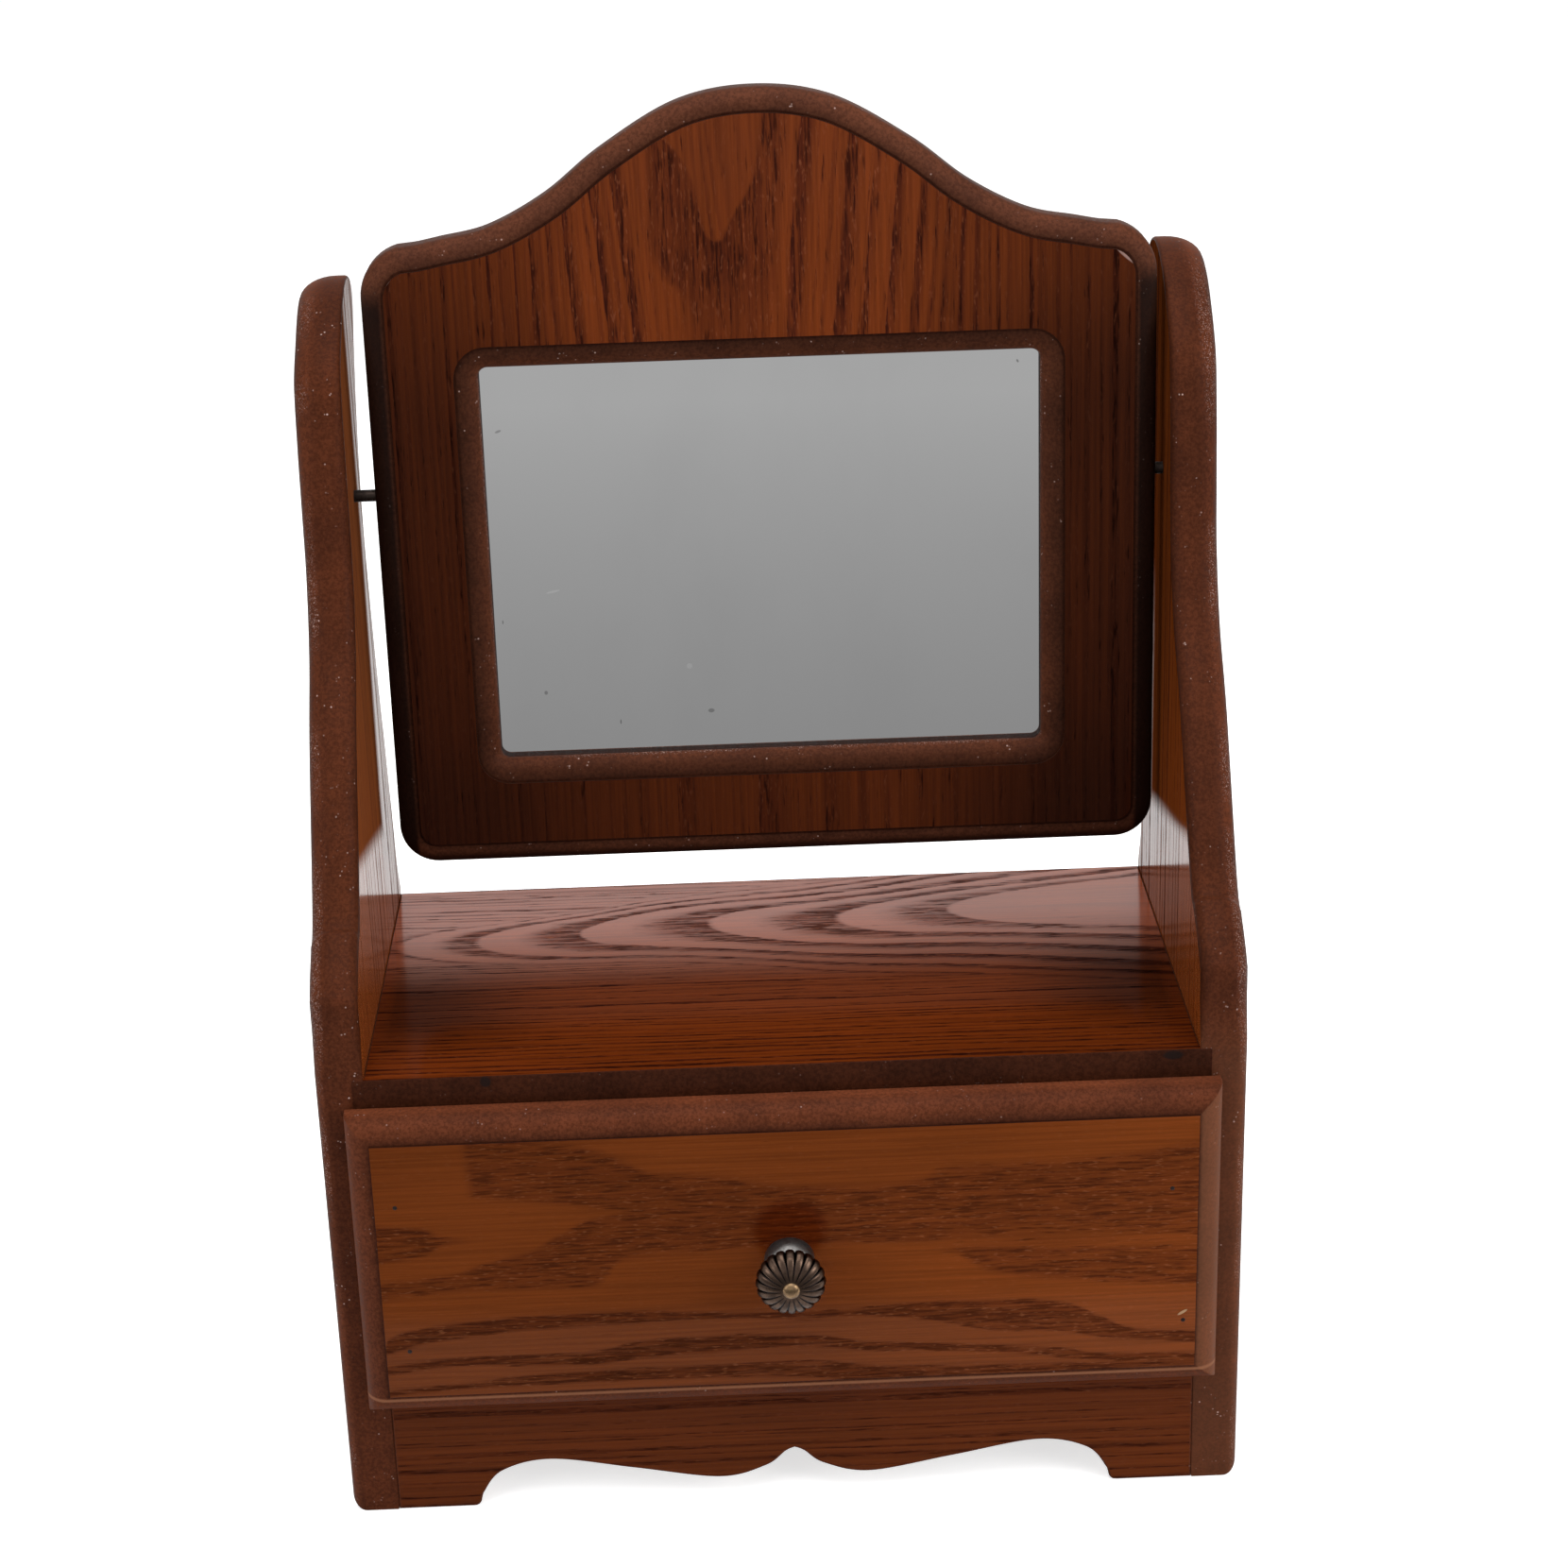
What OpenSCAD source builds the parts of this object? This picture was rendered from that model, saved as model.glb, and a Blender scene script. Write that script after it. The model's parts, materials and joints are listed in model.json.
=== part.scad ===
// Table-top dressing mirror: a case with one drawer, and a framed mirror that turns between two curved arms.
// Millimetres. X runs left to right, Y runs front to back, Z is up. The origin is under the middle of the
// whole object, on the table.

/* [Case] */
// Width over the two side panels
case_w = 241.4; // [225:0.2:300]
// Depth from the front edges of the side panels to their backs
case_depth = 120; // [112:1:160]
// Thickness of the side panels
side_t = 12.7; // [11:0.1:15]
// Height of the shelf's top above the table
shelf_z = 130.4; // [122:0.2:160]
// Thickness of the shelf
shelf_t = 12; // [9:0.5:15]
// Height of the drawer floor's top above the table
floor_z = 38; // [32:0.5:44]
// Thickness of the drawer floor
floor_t = 9; // [6:0.5:12]
// Depth of the housings that hold the shelf and the floor
housing = 3; // [2:0.5:5]
// Step in the top of the shelf's ends, where they enter their housings
shelf_step = 1; // [0.5:0.5:3]
// Thickness of the back panel
back_t = 3; // [2:0.5:5]
// Width of the rebates that hold the back panel
rebate_w = 5; // [4:0.5:6]
// Rounding of the side panels' outer edges, up to the shelf
outer_round = 4; // [2:0.5:5]
// Rounding of the arms' outer edges
arm_round = 6; // [3:0.5:7]
// Rounding of the arms' inner edges
inner_round = 3.5; // [1.5:0.5:4.5]

/* [Arms] */
// Height of the mirror's turning axis above the shelf
pivot_rise = 131.2; // [120:0.2:150]
// Distance of the turning axis behind the front edges
pivot_back = 84.5; // [80:0.5:92]
// Height above the shelf where the front edge leaves the upright
knee_rise = 19.6; // [12:0.2:30]
// How far back the knee runs
knee_back = 21; // [15:0.5:26]
// How far up the knee runs
knee_up = 20.5; // [15:0.5:26]
// Height of the left arm's top above the turning axis
left_head = 54.5; // [46:0.5:62]
// Height of the right arm's top above the turning axis
right_head = 57.5; // [46:0.5:62]
// Width of the arm in front of the turning axis
arm_front = 17.7; // [14:0.1:22]
// Width of the arm behind the turning axis
arm_behind = 18.8; // [14:0.1:22]

/* [Apron] */
// Thickness of the apron
apron_t = 12; // [9:0.5:15]
// Width of each foot, from the side panel to the scroll
foot_w = 22.5; // [16:0.5:30]
// Height of the scroll's outer lobes above the table
lobe_rise = 13.8; // [11:0.2:16]
// Height of the scroll's low points above the table
dip_rise = 6; // [4:0.2:8]
// Height of the point in the middle above the table
tip_rise = 14.5; // [11:0.5:17]

/* [Drawer] */
// Thickness of the drawer front
front_t = 9.5; // [8:0.5:15]
// How far the drawer front covers each side panel
front_lap = 5.3; // [3:0.1:8]
// How far the drawer front covers the shelf's edge
front_lap_top = 4.3; // [2:0.1:6]
// How far the drawer front covers the apron
front_lap_foot = 3; // [1:0.5:6]
// Width of the routed edge round the drawer front
front_rout_w = 6.5; // [4:0.5:9]
// Depth of the routed edge round the drawer front
front_rout_d = 6.8; // [4:0.2:7.4]
// Gap behind the closed drawer front
front_gap = 0.3; // [0.2:0.1:1]
// Thickness of the drawer's sides and back
box_t = 9; // [8:0.5:11]
// Side gap between the drawer and the case
box_gap = 1; // [0.5:0.25:2]
// Gap above the drawer's sides
box_head_gap = 4; // [2:0.5:8]
// Gap under the drawer's sides
box_glide_gap = 0.2; // [0.1:0.1:0.5]
// Gap behind the drawer
box_rear_gap = 5; // [3:0.5:12]
// Thickness of the drawer's bottom
drawer_floor_t = 3; // [2:0.5:5]
// Height of the drawer's bottom above the lower edges of its sides
drawer_floor_rise = 4; // [3:0.5:8]
// Depth of the grooves that hold the drawer's bottom
groove_d = 3; // [2:0.5:5]

/* [Knob] */
// Diameter of the knob's fluted head
knob_d = 18.3; // [14:0.1:26]
// Thickness of the head, front to back
knob_head_t = 9.6; // [7:0.1:12]
// How far the knob stands off the drawer front
knob_len = 17; // [16:0.5:28]
// Diameter of the knob's foot
knob_foot_d = 13.2; // [11:0.1:18]
// Height of the knob's foot
knob_foot_t = 5.2; // [4:0.1:6]
// Diameter of the neck between foot and head
knob_neck_d = 8; // [7:0.5:10]
// Diameter of the button in the middle of the head
knob_button_d = 4.6; // [3:0.1:6]
// Number of flutes round the head
knob_flutes = 20; // [12:1:24]
// Width of a flute
flute_w = 0.6; // [0.3:0.1:0.8]
// Depth of a flute
flute_d = 0.7; // [0.3:0.1:1]
// How far the knob sits below the middle of the drawer front
knob_drop = 0.2; // [0:0.2:6]

/* [Mirror] */
// Gap between the frame and each arm, when the frame is centred
frame_gap = 4; // [3:0.25:7]
// How far the frame hangs to the right of the middle
frame_shift = 1.75; // [0:0.25:2]
// How far the frame leans back at rest, in degrees
frame_lean = 1.8; // [0:0.2:10]
// Thickness of the frame
frame_t = 12; // [11.5:0.5:15]
// Height of the frame above the turning axis
frame_above = 104.2; // [98:0.2:112]
// Height of the frame below the turning axis
frame_below = 104.2; // [98:0.2:112]
// Radius of the frame's lower corners
corner_r_low = 10.5; // [8:0.5:14]
// Width of the frame on each side of the window
stile_w = 30; // [27:0.25:36]
// How far the window sits to the left of the frame's middle
window_shift = 0.75; // [0:0.25:2]
// Width of the frame under the window
rail_low = 29.5; // [27:0.1:36]
// Width of the frame over the window, up to the top of the arch
rail_top = 70.3; // [66:0.1:80]
// Radius of the window's corners
window_r = 2.5; // [1:0.5:4]
// Width of the routed edges of the frame
frame_rout_w = 6.1; // [4:0.1:7]
// Depth of the routed edges of the frame
frame_rout_d = 4.7; // [3:0.1:4.8]
// Thickness of the lip in front of the glass
lip_t = 1.8; // [1.2:0.1:2.2]
// How far the glass lies under the lip
glass_lap = 5; // [3:0.5:6]
// Thickness of the glass
glass_t = 2; // [1.5:0.1:2.2]
// How far the backing board reaches past the glass
ledge_w = 7; // [6:0.5:8]
// Thickness of the backing board
backing_t = 2.5; // [1.5:0.1:2.6]

/* [Fasteners] */
// Diameter of the pivot screws
pivot_d = 3.2; // [2:0.1:4]
// Diameter of the pivot screws' heads
pivot_head_d = 6.5; // [5:0.5:9]
// Thickness of the pivot screws' heads
pivot_head_t = 2; // [1:0.5:4]
// How far the pivot screws reach into the frame
pivot_bite = 14; // [8:0.5:18]
// Diameter of the brads in the case and the drawer
brad_d = 1.4; // [1:0.1:2]
// Diameter of the brads' heads
brad_head_d = 2; // [2:0.1:3]
// Length of the brads in the case
case_brad_len = 30; // [22:1:40]
// Length of the brads in the drawer
drawer_brad_len = 24; // [18:1:30]
// Diameter of the pins in the back panel and the drawer's bottom
pin_d = 1.2; // [0.8:0.1:1.6]
// Diameter of those pins' heads
pin_head_d = 2; // [1.8:0.1:2.4]
// Length of those pins
pin_len = 12; // [8:1:16]
// Diameter of the backing screws
small_screw_d = 2; // [1.5:0.1:2.5]
// Diameter of the backing screws' heads
small_screw_head_d = 4.2; // [3.5:0.1:5]
// Thickness of the backing screws' heads
small_screw_head_t = 0.9; // [0.5:0.1:1]
// Length of the backing screws under their heads
small_screw_len = 7; // [5:0.5:8]
// Diameter of the knob's screw
knob_screw_d = 4; // [3:0.5:5]
// Diameter of the knob screw's head
knob_screw_head_d = 7.5; // [6:0.5:10]
// Thickness of the knob screw's head
knob_screw_head_t = 2.4; // [1.5:0.1:4]
// How far the knob's screw reaches into the knob
knob_screw_bite = 9; // [5:0.5:11]

/* [Hidden] */

$fn = 48;

// Clearance round a nail, a screw or a turning pin, on the radius
pin_gap = 0.05;
// Clearance round a screw head in its recess, on the radius, and under it
head_gap = 0.25;
// Clearance round the glass and the backing board in their recesses
pane_gap = 0.25;
// Extra length of a cutter past the face that it cuts
over = 1;
// Thickness of the heads of brads and pins
brad_head_t = 0.8;
// Distance of the case's brads and pins from the ends of the boards
brad_inset = 22;
// Distance of the upper and lower brads from the edges of the drawer's back
box_brad_inset = 14;

// Inside of the case
inner_x = case_w / 2 - side_t;
shelf_under = shelf_z - shelf_t;
floor_back = case_depth - back_t;
knee_z = shelf_z + knee_rise;
pivot = [pivot_back, shelf_z + pivot_rise];

// Drawer front and drawer box
front_x = inner_x + front_lap;
front_low = floor_z - front_lap_foot;
front_high = shelf_under + front_lap_top;
front_mid = (front_low + front_high) / 2;
box_x = inner_x - box_gap;
box_low = floor_z + box_glide_gap;
box_high = shelf_under - box_head_gap;
box_rear = floor_back - box_rear_gap;
drawer_floor_z = box_low + drawer_floor_rise;
drawer_floor_top = drawer_floor_z + drawer_floor_t;
groove_x = box_x - box_t + groove_d;
knob_z = front_mid - knob_drop;
knob_y = -front_gap - front_t;
bottom_pin_x = box_x - box_t - brad_inset;

// Mirror frame, measured from the turning axis, front face forward
frame_w = 2 * (inner_x - frame_gap);
window_w = frame_w - 2 * stile_w;
window_low = rail_low - frame_below;
window_high = frame_above - rail_top;
window_mid = (window_low + window_high) / 2;
window_h = window_high - window_low;
glass_front = frame_t - frame_rout_d - lip_t;
glass_back = glass_front - glass_t;
backing_back = glass_back - backing_t;
rout_step = 0.5;
back_edge_r = 2;
shoulder_r = 13.5;

// The origin lies midway between the knob's front and the back of the case
reach = front_gap + front_t + knob_len;
shift_y = (reach - case_depth) / 2;

// Colours
veneer = [0.43, 0.22, 0.1];
fibreboard = [0.34, 0.19, 0.14];
raw_board = [0.55, 0.42, 0.3];
steel = [0.35, 0.33, 0.32];
bronze = [0.36, 0.3, 0.25];
silver = [0.62, 0.64, 0.65];

// Point at share t of the curve from b to c, which is smooth through a, b, c and d
function curve_at(a, b, c, d, t) =
  0.5 * (2 * b + (c - a) * t + (2 * a - 5 * b + 4 * c - d) * t * t + (3 * b - a - 3 * c + d) * t * t * t);

// Smooth curve through points, with n steps between each two of them
function curve(p, n) = [
  for (i = [0 : len(p) - 2])
    for (k = [0 : n - 1])
      curve_at(p[max(i - 1, 0)], p[i], p[i + 1], p[min(i + 2, len(p) - 1)], k / n),
  p[len(p) - 1]
];

// Arc of radius r about c from angle a0 to a1
function arc(c, r, a0, a1, n) = [
  for (k = [0 : n])
    let (a = a0 + (a1 - a0) * k / n)
    c + r * [cos(a), sin(a)]
];

// Points of a list, last one first
function backwards(p) = [for (i = [len(p) - 1 : -1 : 0]) p[i]];

// Rectangle with round corners about [0, mid]
function round_rect(w, h, mid, r) = concat(
  arc([w / 2 - r, mid - h / 2 + r], r, -90, 0, 5),
  arc([w / 2 - r, mid + h / 2 - r], r, 0, 90, 5),
  arc([r - w / 2, mid + h / 2 - r], r, 90, 180, 5),
  arc([r - w / 2, mid - h / 2 + r], r, 180, 270, 5)
);

// Outward normal of the edge from a to b of an outline that runs anticlockwise
function edge_normal(a, b) = [b[1] - a[1], a[0] - b[0]] / norm(b - a);

// Outward step at corner i that moves both its edges by one unit
function corner_step(p, i) =
  let (
    n = len(p),
    before = edge_normal(p[(i + n - 1) % n], p[i]),
    after = edge_normal(p[i], p[(i + 1) % n])
  )
  (before + after) / (1 + before * after);

// Plate on an outline. Each ring is [inset, height, extra inset, extra height], and fade gives the share of
// the two extras at each corner of the outline.
module plate(outline, rings, fade = []) {
  n = len(outline);
  points = [
    for (ring = rings)
      for (i = [0 : n - 1])
        let (share = len(fade) == n ? fade[i] : 0)
        let (p = outline[i] - (ring[0] + share * ring[2]) * corner_step(outline, i))
        [p[0], p[1], ring[1] + share * ring[3]]
  ];
  walls = [
    for (r = [0 : len(rings) - 2])
      for (i = [0 : n - 1])
        let (j = (i + 1) % n, low = r * n, high = low + n)
        each [[low + i, high + i, high + j], [low + i, high + j, low + j]]
  ];
  caps = [
    [for (i = [0 : n - 1]) i],
    [for (i = [n - 1 : -1 : 0]) (len(rings) - 1) * n + i]
  ];
  polyhedron(points, concat(walls, caps), convexity = 10);
}

// Moves a module from the case's own place to the origin's
module placed() {
  translate([0, shift_y, 0])
    children();
}

// Turns a plate upright, with its top towards the front
module upright() {
  rotate([90, 0, 0])
    children();
}

// Places a piece of the mirror, which is drawn about the turning axis in the middle of the frame's thickness
module on_pivot() {
  placed()
    translate([frame_shift, pivot[0], pivot[1]])
      rotate([-frame_lean, 0, 0])
        children();
}

// Fastener that points along +Z, with its head on the origin's far side up to head_t
module fastener(d, len, head_d, head_t, gap = 0, tail = 0) {
  translate([0, 0, -tail])
    cylinder(d = head_d + 2 * gap, h = head_t + tail);
  translate([0, 0, head_t - gap])
    cylinder(d = d + 2 * gap, h = len - head_t + 2 * gap);
}

// Edges of a side panel, [back, up]. The arm's knots lie about the turning axis.
arm_waist = [pivot[0] - arm_front - 2.3, pivot[1] - 16.6];
knee_end = [knee_back, knee_z + knee_up];
run_out_low = shelf_z + 1;
run_out_high = knee_z - 8;
back_edge = [
  [case_depth, run_out_low],
  [case_depth - 4, shelf_z + 26],
  [case_depth - 8.5, shelf_z + 52],
  [case_depth - 13, shelf_z + 75],
  pivot + [arm_behind + 0.7, -34.6],
  pivot + [arm_behind - 0.8, -16.6],
  pivot + [arm_behind, -1.6],
  pivot + [arm_behind + 4.2, 17],
  pivot + [arm_behind + 10, 35]
];
front_edge = [
  pivot + [7 - arm_front, 35],
  pivot + [2.6 - arm_front, 18],
  pivot + [-arm_front, -1.6],
  arm_waist,
  arm_waist - [7.5, 18],
  (arm_waist + knee_end) / 2
];
knee_shares = [[1, 1], [0.69, 0.73], [0.38, 0.49], [0.14, 0.24], [0.03, 0]];
knee = [for (s = knee_shares) [s[0] * knee_back, knee_z + s[1] * knee_up]];

// Top of an arm that rises to head above the turning axis
function arm_top(head) = [
  pivot + [arm_behind + 14.5, head - 9],
  pivot + [arm_behind + 11.5, head - 2.5],
  pivot + [21, head],
  pivot + [11, head - 2.4],
  pivot + [1, head - 9]
];

// Outline of a side panel, anticlockwise from its lower front corner
function side_outline(head) = concat(
  [[0, 0], [case_depth, 0]],
  curve(concat(back_edge, arm_top(head), front_edge, knee, [[0, run_out_low]]), 3)
);
side_rings = concat(
  [
    for (a = [0 : 22.5 : 90])
      let (inset = 1 - sin(a), height = 1 - cos(a), extra = arm_round - outer_round)
      [outer_round * inset, outer_round * height, extra * inset, extra * height]
  ],
  [
    for (a = [90 : -22.5 : 0])
      [0, side_t, inner_round * (1 - sin(a)), -inner_round * (1 - cos(a))]
  ]
);

// Places of the case's fasteners, [back, up] on the side panels and [across, up] on the back panel
case_brads = [
  [brad_inset, shelf_z - shelf_t / 2],
  [case_depth - brad_inset, shelf_z - shelf_t / 2],
  [apron_t + brad_inset, floor_z - floor_t / 2],
  [floor_back - brad_inset, floor_z - floor_t / 2],
  [apron_t / 2, floor_z / 2]
];
rebate_x = inner_x + rebate_w / 2;
back_pins = concat(
  [for (x = [-1, 0, 1]) [x * (inner_x - brad_inset), floor_z - floor_t / 2]],
  [for (x = [-1, 1], z = [floor_z + brad_inset, shelf_under - brad_inset]) [x * rebate_x, z]]
);

// Brads of one side panel, or the holes for them
module case_brad_row(gap = 0, tail = 0) {
  for (p = case_brads)
    translate([-case_w / 2, p[0], p[1]])
      rotate([0, 90, 0])
        fastener(brad_d, case_brad_len, brad_head_d, brad_head_t, gap, tail);
}

// Pins of the back panel, or the holes for them
module back_pin_row(gap = 0, tail = 0) {
  for (p = back_pins)
    translate([p[0], case_depth, p[1]])
      rotate([90, 0, 0])
        fastener(pin_d, pin_len, pin_head_d, brad_head_t, gap, tail);
}

// Shank of the left pivot screw with its head flush in the panel, or the hole for it
module pivot_screw(len, gap = 0, under = 0, tail = 0) {
  translate([-tail, 0, 0])
    rotate([0, 90, 0])
      cylinder(d = pivot_head_d + (tail > 0 ? 2 * head_gap : 0), h = pivot_head_t + under + tail);
  translate([pivot_head_t, 0, 0])
    rotate([0, 90, 0])
      cylinder(d = pivot_d + 2 * gap, h = len - pivot_head_t + gap);
}

// Left side panel, with an arm that rises to head above the turning axis
module side_panel(head) {
  outline = side_outline(head);
  fade = [
    for (p = outline)
      min(1, max(0, (p[1] - run_out_low) / (run_out_high - run_out_low)))
  ];
  difference() {
    translate([-case_w / 2, 0, 0])
      rotate([90, 0, 90])
        plate(outline, side_rings, fade);
    // Housing for the shelf
    translate([-inner_x - housing, -over, shelf_under])
      cube([housing + over, case_depth + 2 * over, shelf_t - shelf_step]);
    // Housing for the drawer floor
    translate([-inner_x - housing, apron_t, floor_z - floor_t])
      cube([housing + over, floor_back - apron_t, floor_t]);
    // Rebate for the back panel
    translate([-inner_x - rebate_w, floor_back, floor_z - floor_t])
      cube([rebate_w + over, back_t + over, shelf_under - floor_z + floor_t]);
    case_brad_row(pin_gap, over);
    back_pin_row(pin_gap, over);
    // Bore that the mirror turns in, with a recess for the screw's head
    translate([-case_w / 2, pivot[0], pivot[1]])
      pivot_screw(side_t + over, pin_gap, head_gap, over);
  }
}

module left_side_panel() {
  color(veneer)
    placed()
      side_panel(left_head);
}

module right_side_panel() {
  color(veneer)
    placed()
      mirror([1, 0, 0])
        side_panel(right_head);
}

module shelf_board() {
  color(veneer)
    placed()
      difference() {
        translate([-inner_x - housing, 0, shelf_under])
          cube([2 * (inner_x + housing), case_depth, shelf_t]);
        // Steps in the top of both ends, so that the top is clear of the side panels
        for (x = [-inner_x - housing - over, inner_x])
          translate([x, -over, shelf_z - shelf_step])
            cube([housing + over, case_depth + 2 * over, shelf_step + over]);
        case_brad_row(pin_gap);
        mirror([1, 0, 0])
          case_brad_row(pin_gap);
      }
}

module bottom_board() {
  color(raw_board)
    placed()
      difference() {
        translate([-inner_x - housing, apron_t, floor_z - floor_t])
          cube([2 * (inner_x + housing), floor_back - apron_t, floor_t]);
        case_brad_row(pin_gap);
        mirror([1, 0, 0])
          case_brad_row(pin_gap);
        back_pin_row(pin_gap);
      }
}

module back_panel() {
  color(raw_board)
    placed()
      difference() {
        translate([-inner_x - rebate_w, floor_back, floor_z - floor_t])
          cube([2 * (inner_x + rebate_w), back_t, shelf_under - floor_z + floor_t]);
        back_pin_row(pin_gap, over);
      }
}

// Right half of the scroll under the apron, from the foot to the middle
foot_x = inner_x - foot_w;
foot_corner = 2;
lobe_x = foot_x - 19.5;
dip_x = 20.5;
scroll = concat(
  arc([foot_x + foot_corner, foot_corner], foot_corner, 270, 180, 4),
  curve([
    [foot_x - 0.5, 3.8],
    [foot_x - 6, lobe_rise - 3.1],
    [lobe_x, lobe_rise],
    [(lobe_x + dip_x) / 2, (lobe_rise + dip_rise) / 2],
    [dip_x, dip_rise],
    [8, dip_rise + 3],
    [2.5, tip_rise - 1.2],
    [0, tip_rise]
  ], 5)
);

module apron() {
  color(veneer)
    placed()
      difference() {
        translate([0, apron_t, 0])
          upright()
            linear_extrude(apron_t)
              polygon(concat(
                [[-inner_x, floor_z], [-inner_x, 0]],
                [for (p = scroll) [-p[0], p[1]]],
                backwards(scroll),
                [[inner_x, 0], [inner_x, floor_z]]
              ));
        case_brad_row(pin_gap);
        mirror([1, 0, 0])
          case_brad_row(pin_gap);
      }
}

module case_nails() {
  color(steel)
    placed() {
      case_brad_row();
      mirror([1, 0, 0])
        case_brad_row();
    }
}

module back_panel_nails() {
  color(steel)
    placed()
      back_pin_row();
}

// Section of the drawer front, [along, forward], for half a width or half a height
function front_section(half) = concat(
  [[-half, 0], [half, 0]],
  [
    for (a = [0 : 15 : 90])
      [half - front_rout_w * (1 - cos(a)), front_t - front_rout_d + (front_rout_d - rout_step) * sin(a)]
  ],
  [[half - front_rout_w, front_t], [front_rout_w - half, front_t]],
  [
    for (a = [90 : -15 : 0])
      [front_rout_w * (1 - cos(a)) - half, front_t - front_rout_d + (front_rout_d - rout_step) * sin(a)]
  ]
);

// Brads of the drawer front, [side, towards the right, up from the middle], as they were driven by hand
front_brads = [[-1, 1.2, 19.6], [-1, 2, -23.4], [1, -2.6, 16.4], [1, 0.9, -23.2]];

// Brads that hold the drawer front, or the holes for them
module front_brad_row(gap = 0, tail = 0) {
  for (b = front_brads)
    translate([b[0] * (box_x - box_t / 2) + b[1], -front_gap - front_t, front_mid + b[2]])
      rotate([-90, 0, 0])
        fastener(brad_d, drawer_brad_len, brad_head_d, brad_head_t, gap, tail);
}

// Brads through the left side of the drawer into its back, or the holes for them
module box_brad_row(gap = 0, tail = 0) {
  for (z = [drawer_floor_top + box_brad_inset, box_high - box_brad_inset])
    translate([-box_x, box_rear - box_t / 2, z])
      rotate([0, 90, 0])
        fastener(brad_d, drawer_brad_len, brad_head_d, brad_head_t, gap, tail);
}

// Pins through the drawer's bottom into its back, or the holes for them
module bottom_pin_row(gap = 0, tail = 0) {
  for (x = [-1, 0, 1])
    translate([x * bottom_pin_x, box_rear - box_t / 2, drawer_floor_z])
      fastener(pin_d, pin_len, pin_head_d, brad_head_t, gap, tail);
}

module drawer_front() {
  color(veneer)
    placed()
      difference() {
        translate([0, -front_gap, front_mid])
          intersection() {
            translate([0, 0, front_low - front_mid])
              linear_extrude(front_high - front_low)
                polygon([for (p = front_section(front_x)) [p[0], -p[1]]]);
            translate([-front_x, 0, 0])
              rotate([90, 0, 90])
                linear_extrude(2 * front_x)
                  polygon([for (p = front_section(front_high - front_mid)) [-p[1], p[0]]]);
          }
        front_brad_row(pin_gap, over);
        // Hole for the knob's screw
        translate([0, over, knob_z])
          rotate([90, 0, 0])
            cylinder(d = knob_screw_d + 2 * pin_gap, h = front_gap + front_t + 2 * over);
      }
}

// Left side of the drawer, before the drawer front is nailed on; the right one is its mirror image
module box_side() {
  difference() {
    translate([-box_x, -front_gap, box_low])
      cube([box_t, box_rear + front_gap, box_high - box_low]);
    // Groove for the drawer's bottom
    translate([-groove_x, -front_gap - over, drawer_floor_z])
      cube([groove_d + over, box_rear + front_gap + 2 * over, drawer_floor_t]);
    box_brad_row(pin_gap, over);
  }
}

module drawer_left_side() {
  color(raw_board)
    placed()
      difference() {
        box_side();
        front_brad_row(pin_gap);
      }
}

module drawer_right_side() {
  color(raw_board)
    placed()
      difference() {
        mirror([1, 0, 0])
          box_side();
        front_brad_row(pin_gap);
      }
}

module drawer_back() {
  color(raw_board)
    placed()
      difference() {
        translate([box_t - box_x, box_rear - box_t, drawer_floor_top])
          cube([2 * (box_x - box_t), box_t, box_high - drawer_floor_top]);
        box_brad_row(pin_gap);
        mirror([1, 0, 0])
          box_brad_row(pin_gap);
        bottom_pin_row(pin_gap);
      }
}

module drawer_bottom() {
  color(raw_board)
    placed()
      difference() {
        translate([-groove_x, -front_gap, drawer_floor_z])
          cube([2 * groove_x, box_rear + front_gap, drawer_floor_t]);
        bottom_pin_row(pin_gap, over);
      }
}

module drawer_front_nails() {
  color(steel)
    placed()
      front_brad_row();
}

module drawer_back_nails() {
  color(steel)
    placed() {
      box_brad_row();
      mirror([1, 0, 0])
        box_brad_row();
    }
}

module drawer_bottom_nails() {
  color(steel)
    placed()
      bottom_pin_row();
}

// Knob, drawn along +Z from the drawer front
button_rise = 0.9;
head_half = knob_head_t / 2;
head_mid = knob_len - button_rise - head_half;
neck_angle = -acos(knob_neck_d / knob_d);
button_angle = acos(knob_button_d / knob_d);
foot_edge = 0.8;
knob_section = concat(
  [[0, 0], [knob_foot_d / 2, 0]],
  [
    for (a = [0 : 15 : 90])
      [
        knob_neck_d / 2 + (knob_foot_d - knob_neck_d) / 2 * cos(a),
        foot_edge + (knob_foot_t - foot_edge) * sin(a)
      ]
  ],
  [
    for (k = [0 : 14])
      let (a = neck_angle + (button_angle - neck_angle) * k / 14)
      [knob_d / 2 * cos(a), head_mid + head_half * sin(a)]
  ],
  [
    for (a = [0 : 30 : 90])
      let (z0 = head_mid + head_half * sin(button_angle))
      [knob_button_d / 2 * cos(a), z0 + (knob_len - z0) * sin(a)]
  ]
);

// Arc of the head's section, moved in by inset
function head_arc(inset, a0, a1) = [
  for (k = [0 : 10])
    let (a = a0 + (a1 - a0) * k / 10)
    [(knob_d / 2 - inset) * cos(a), head_mid + (head_half - inset) * sin(a)]
];

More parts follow.
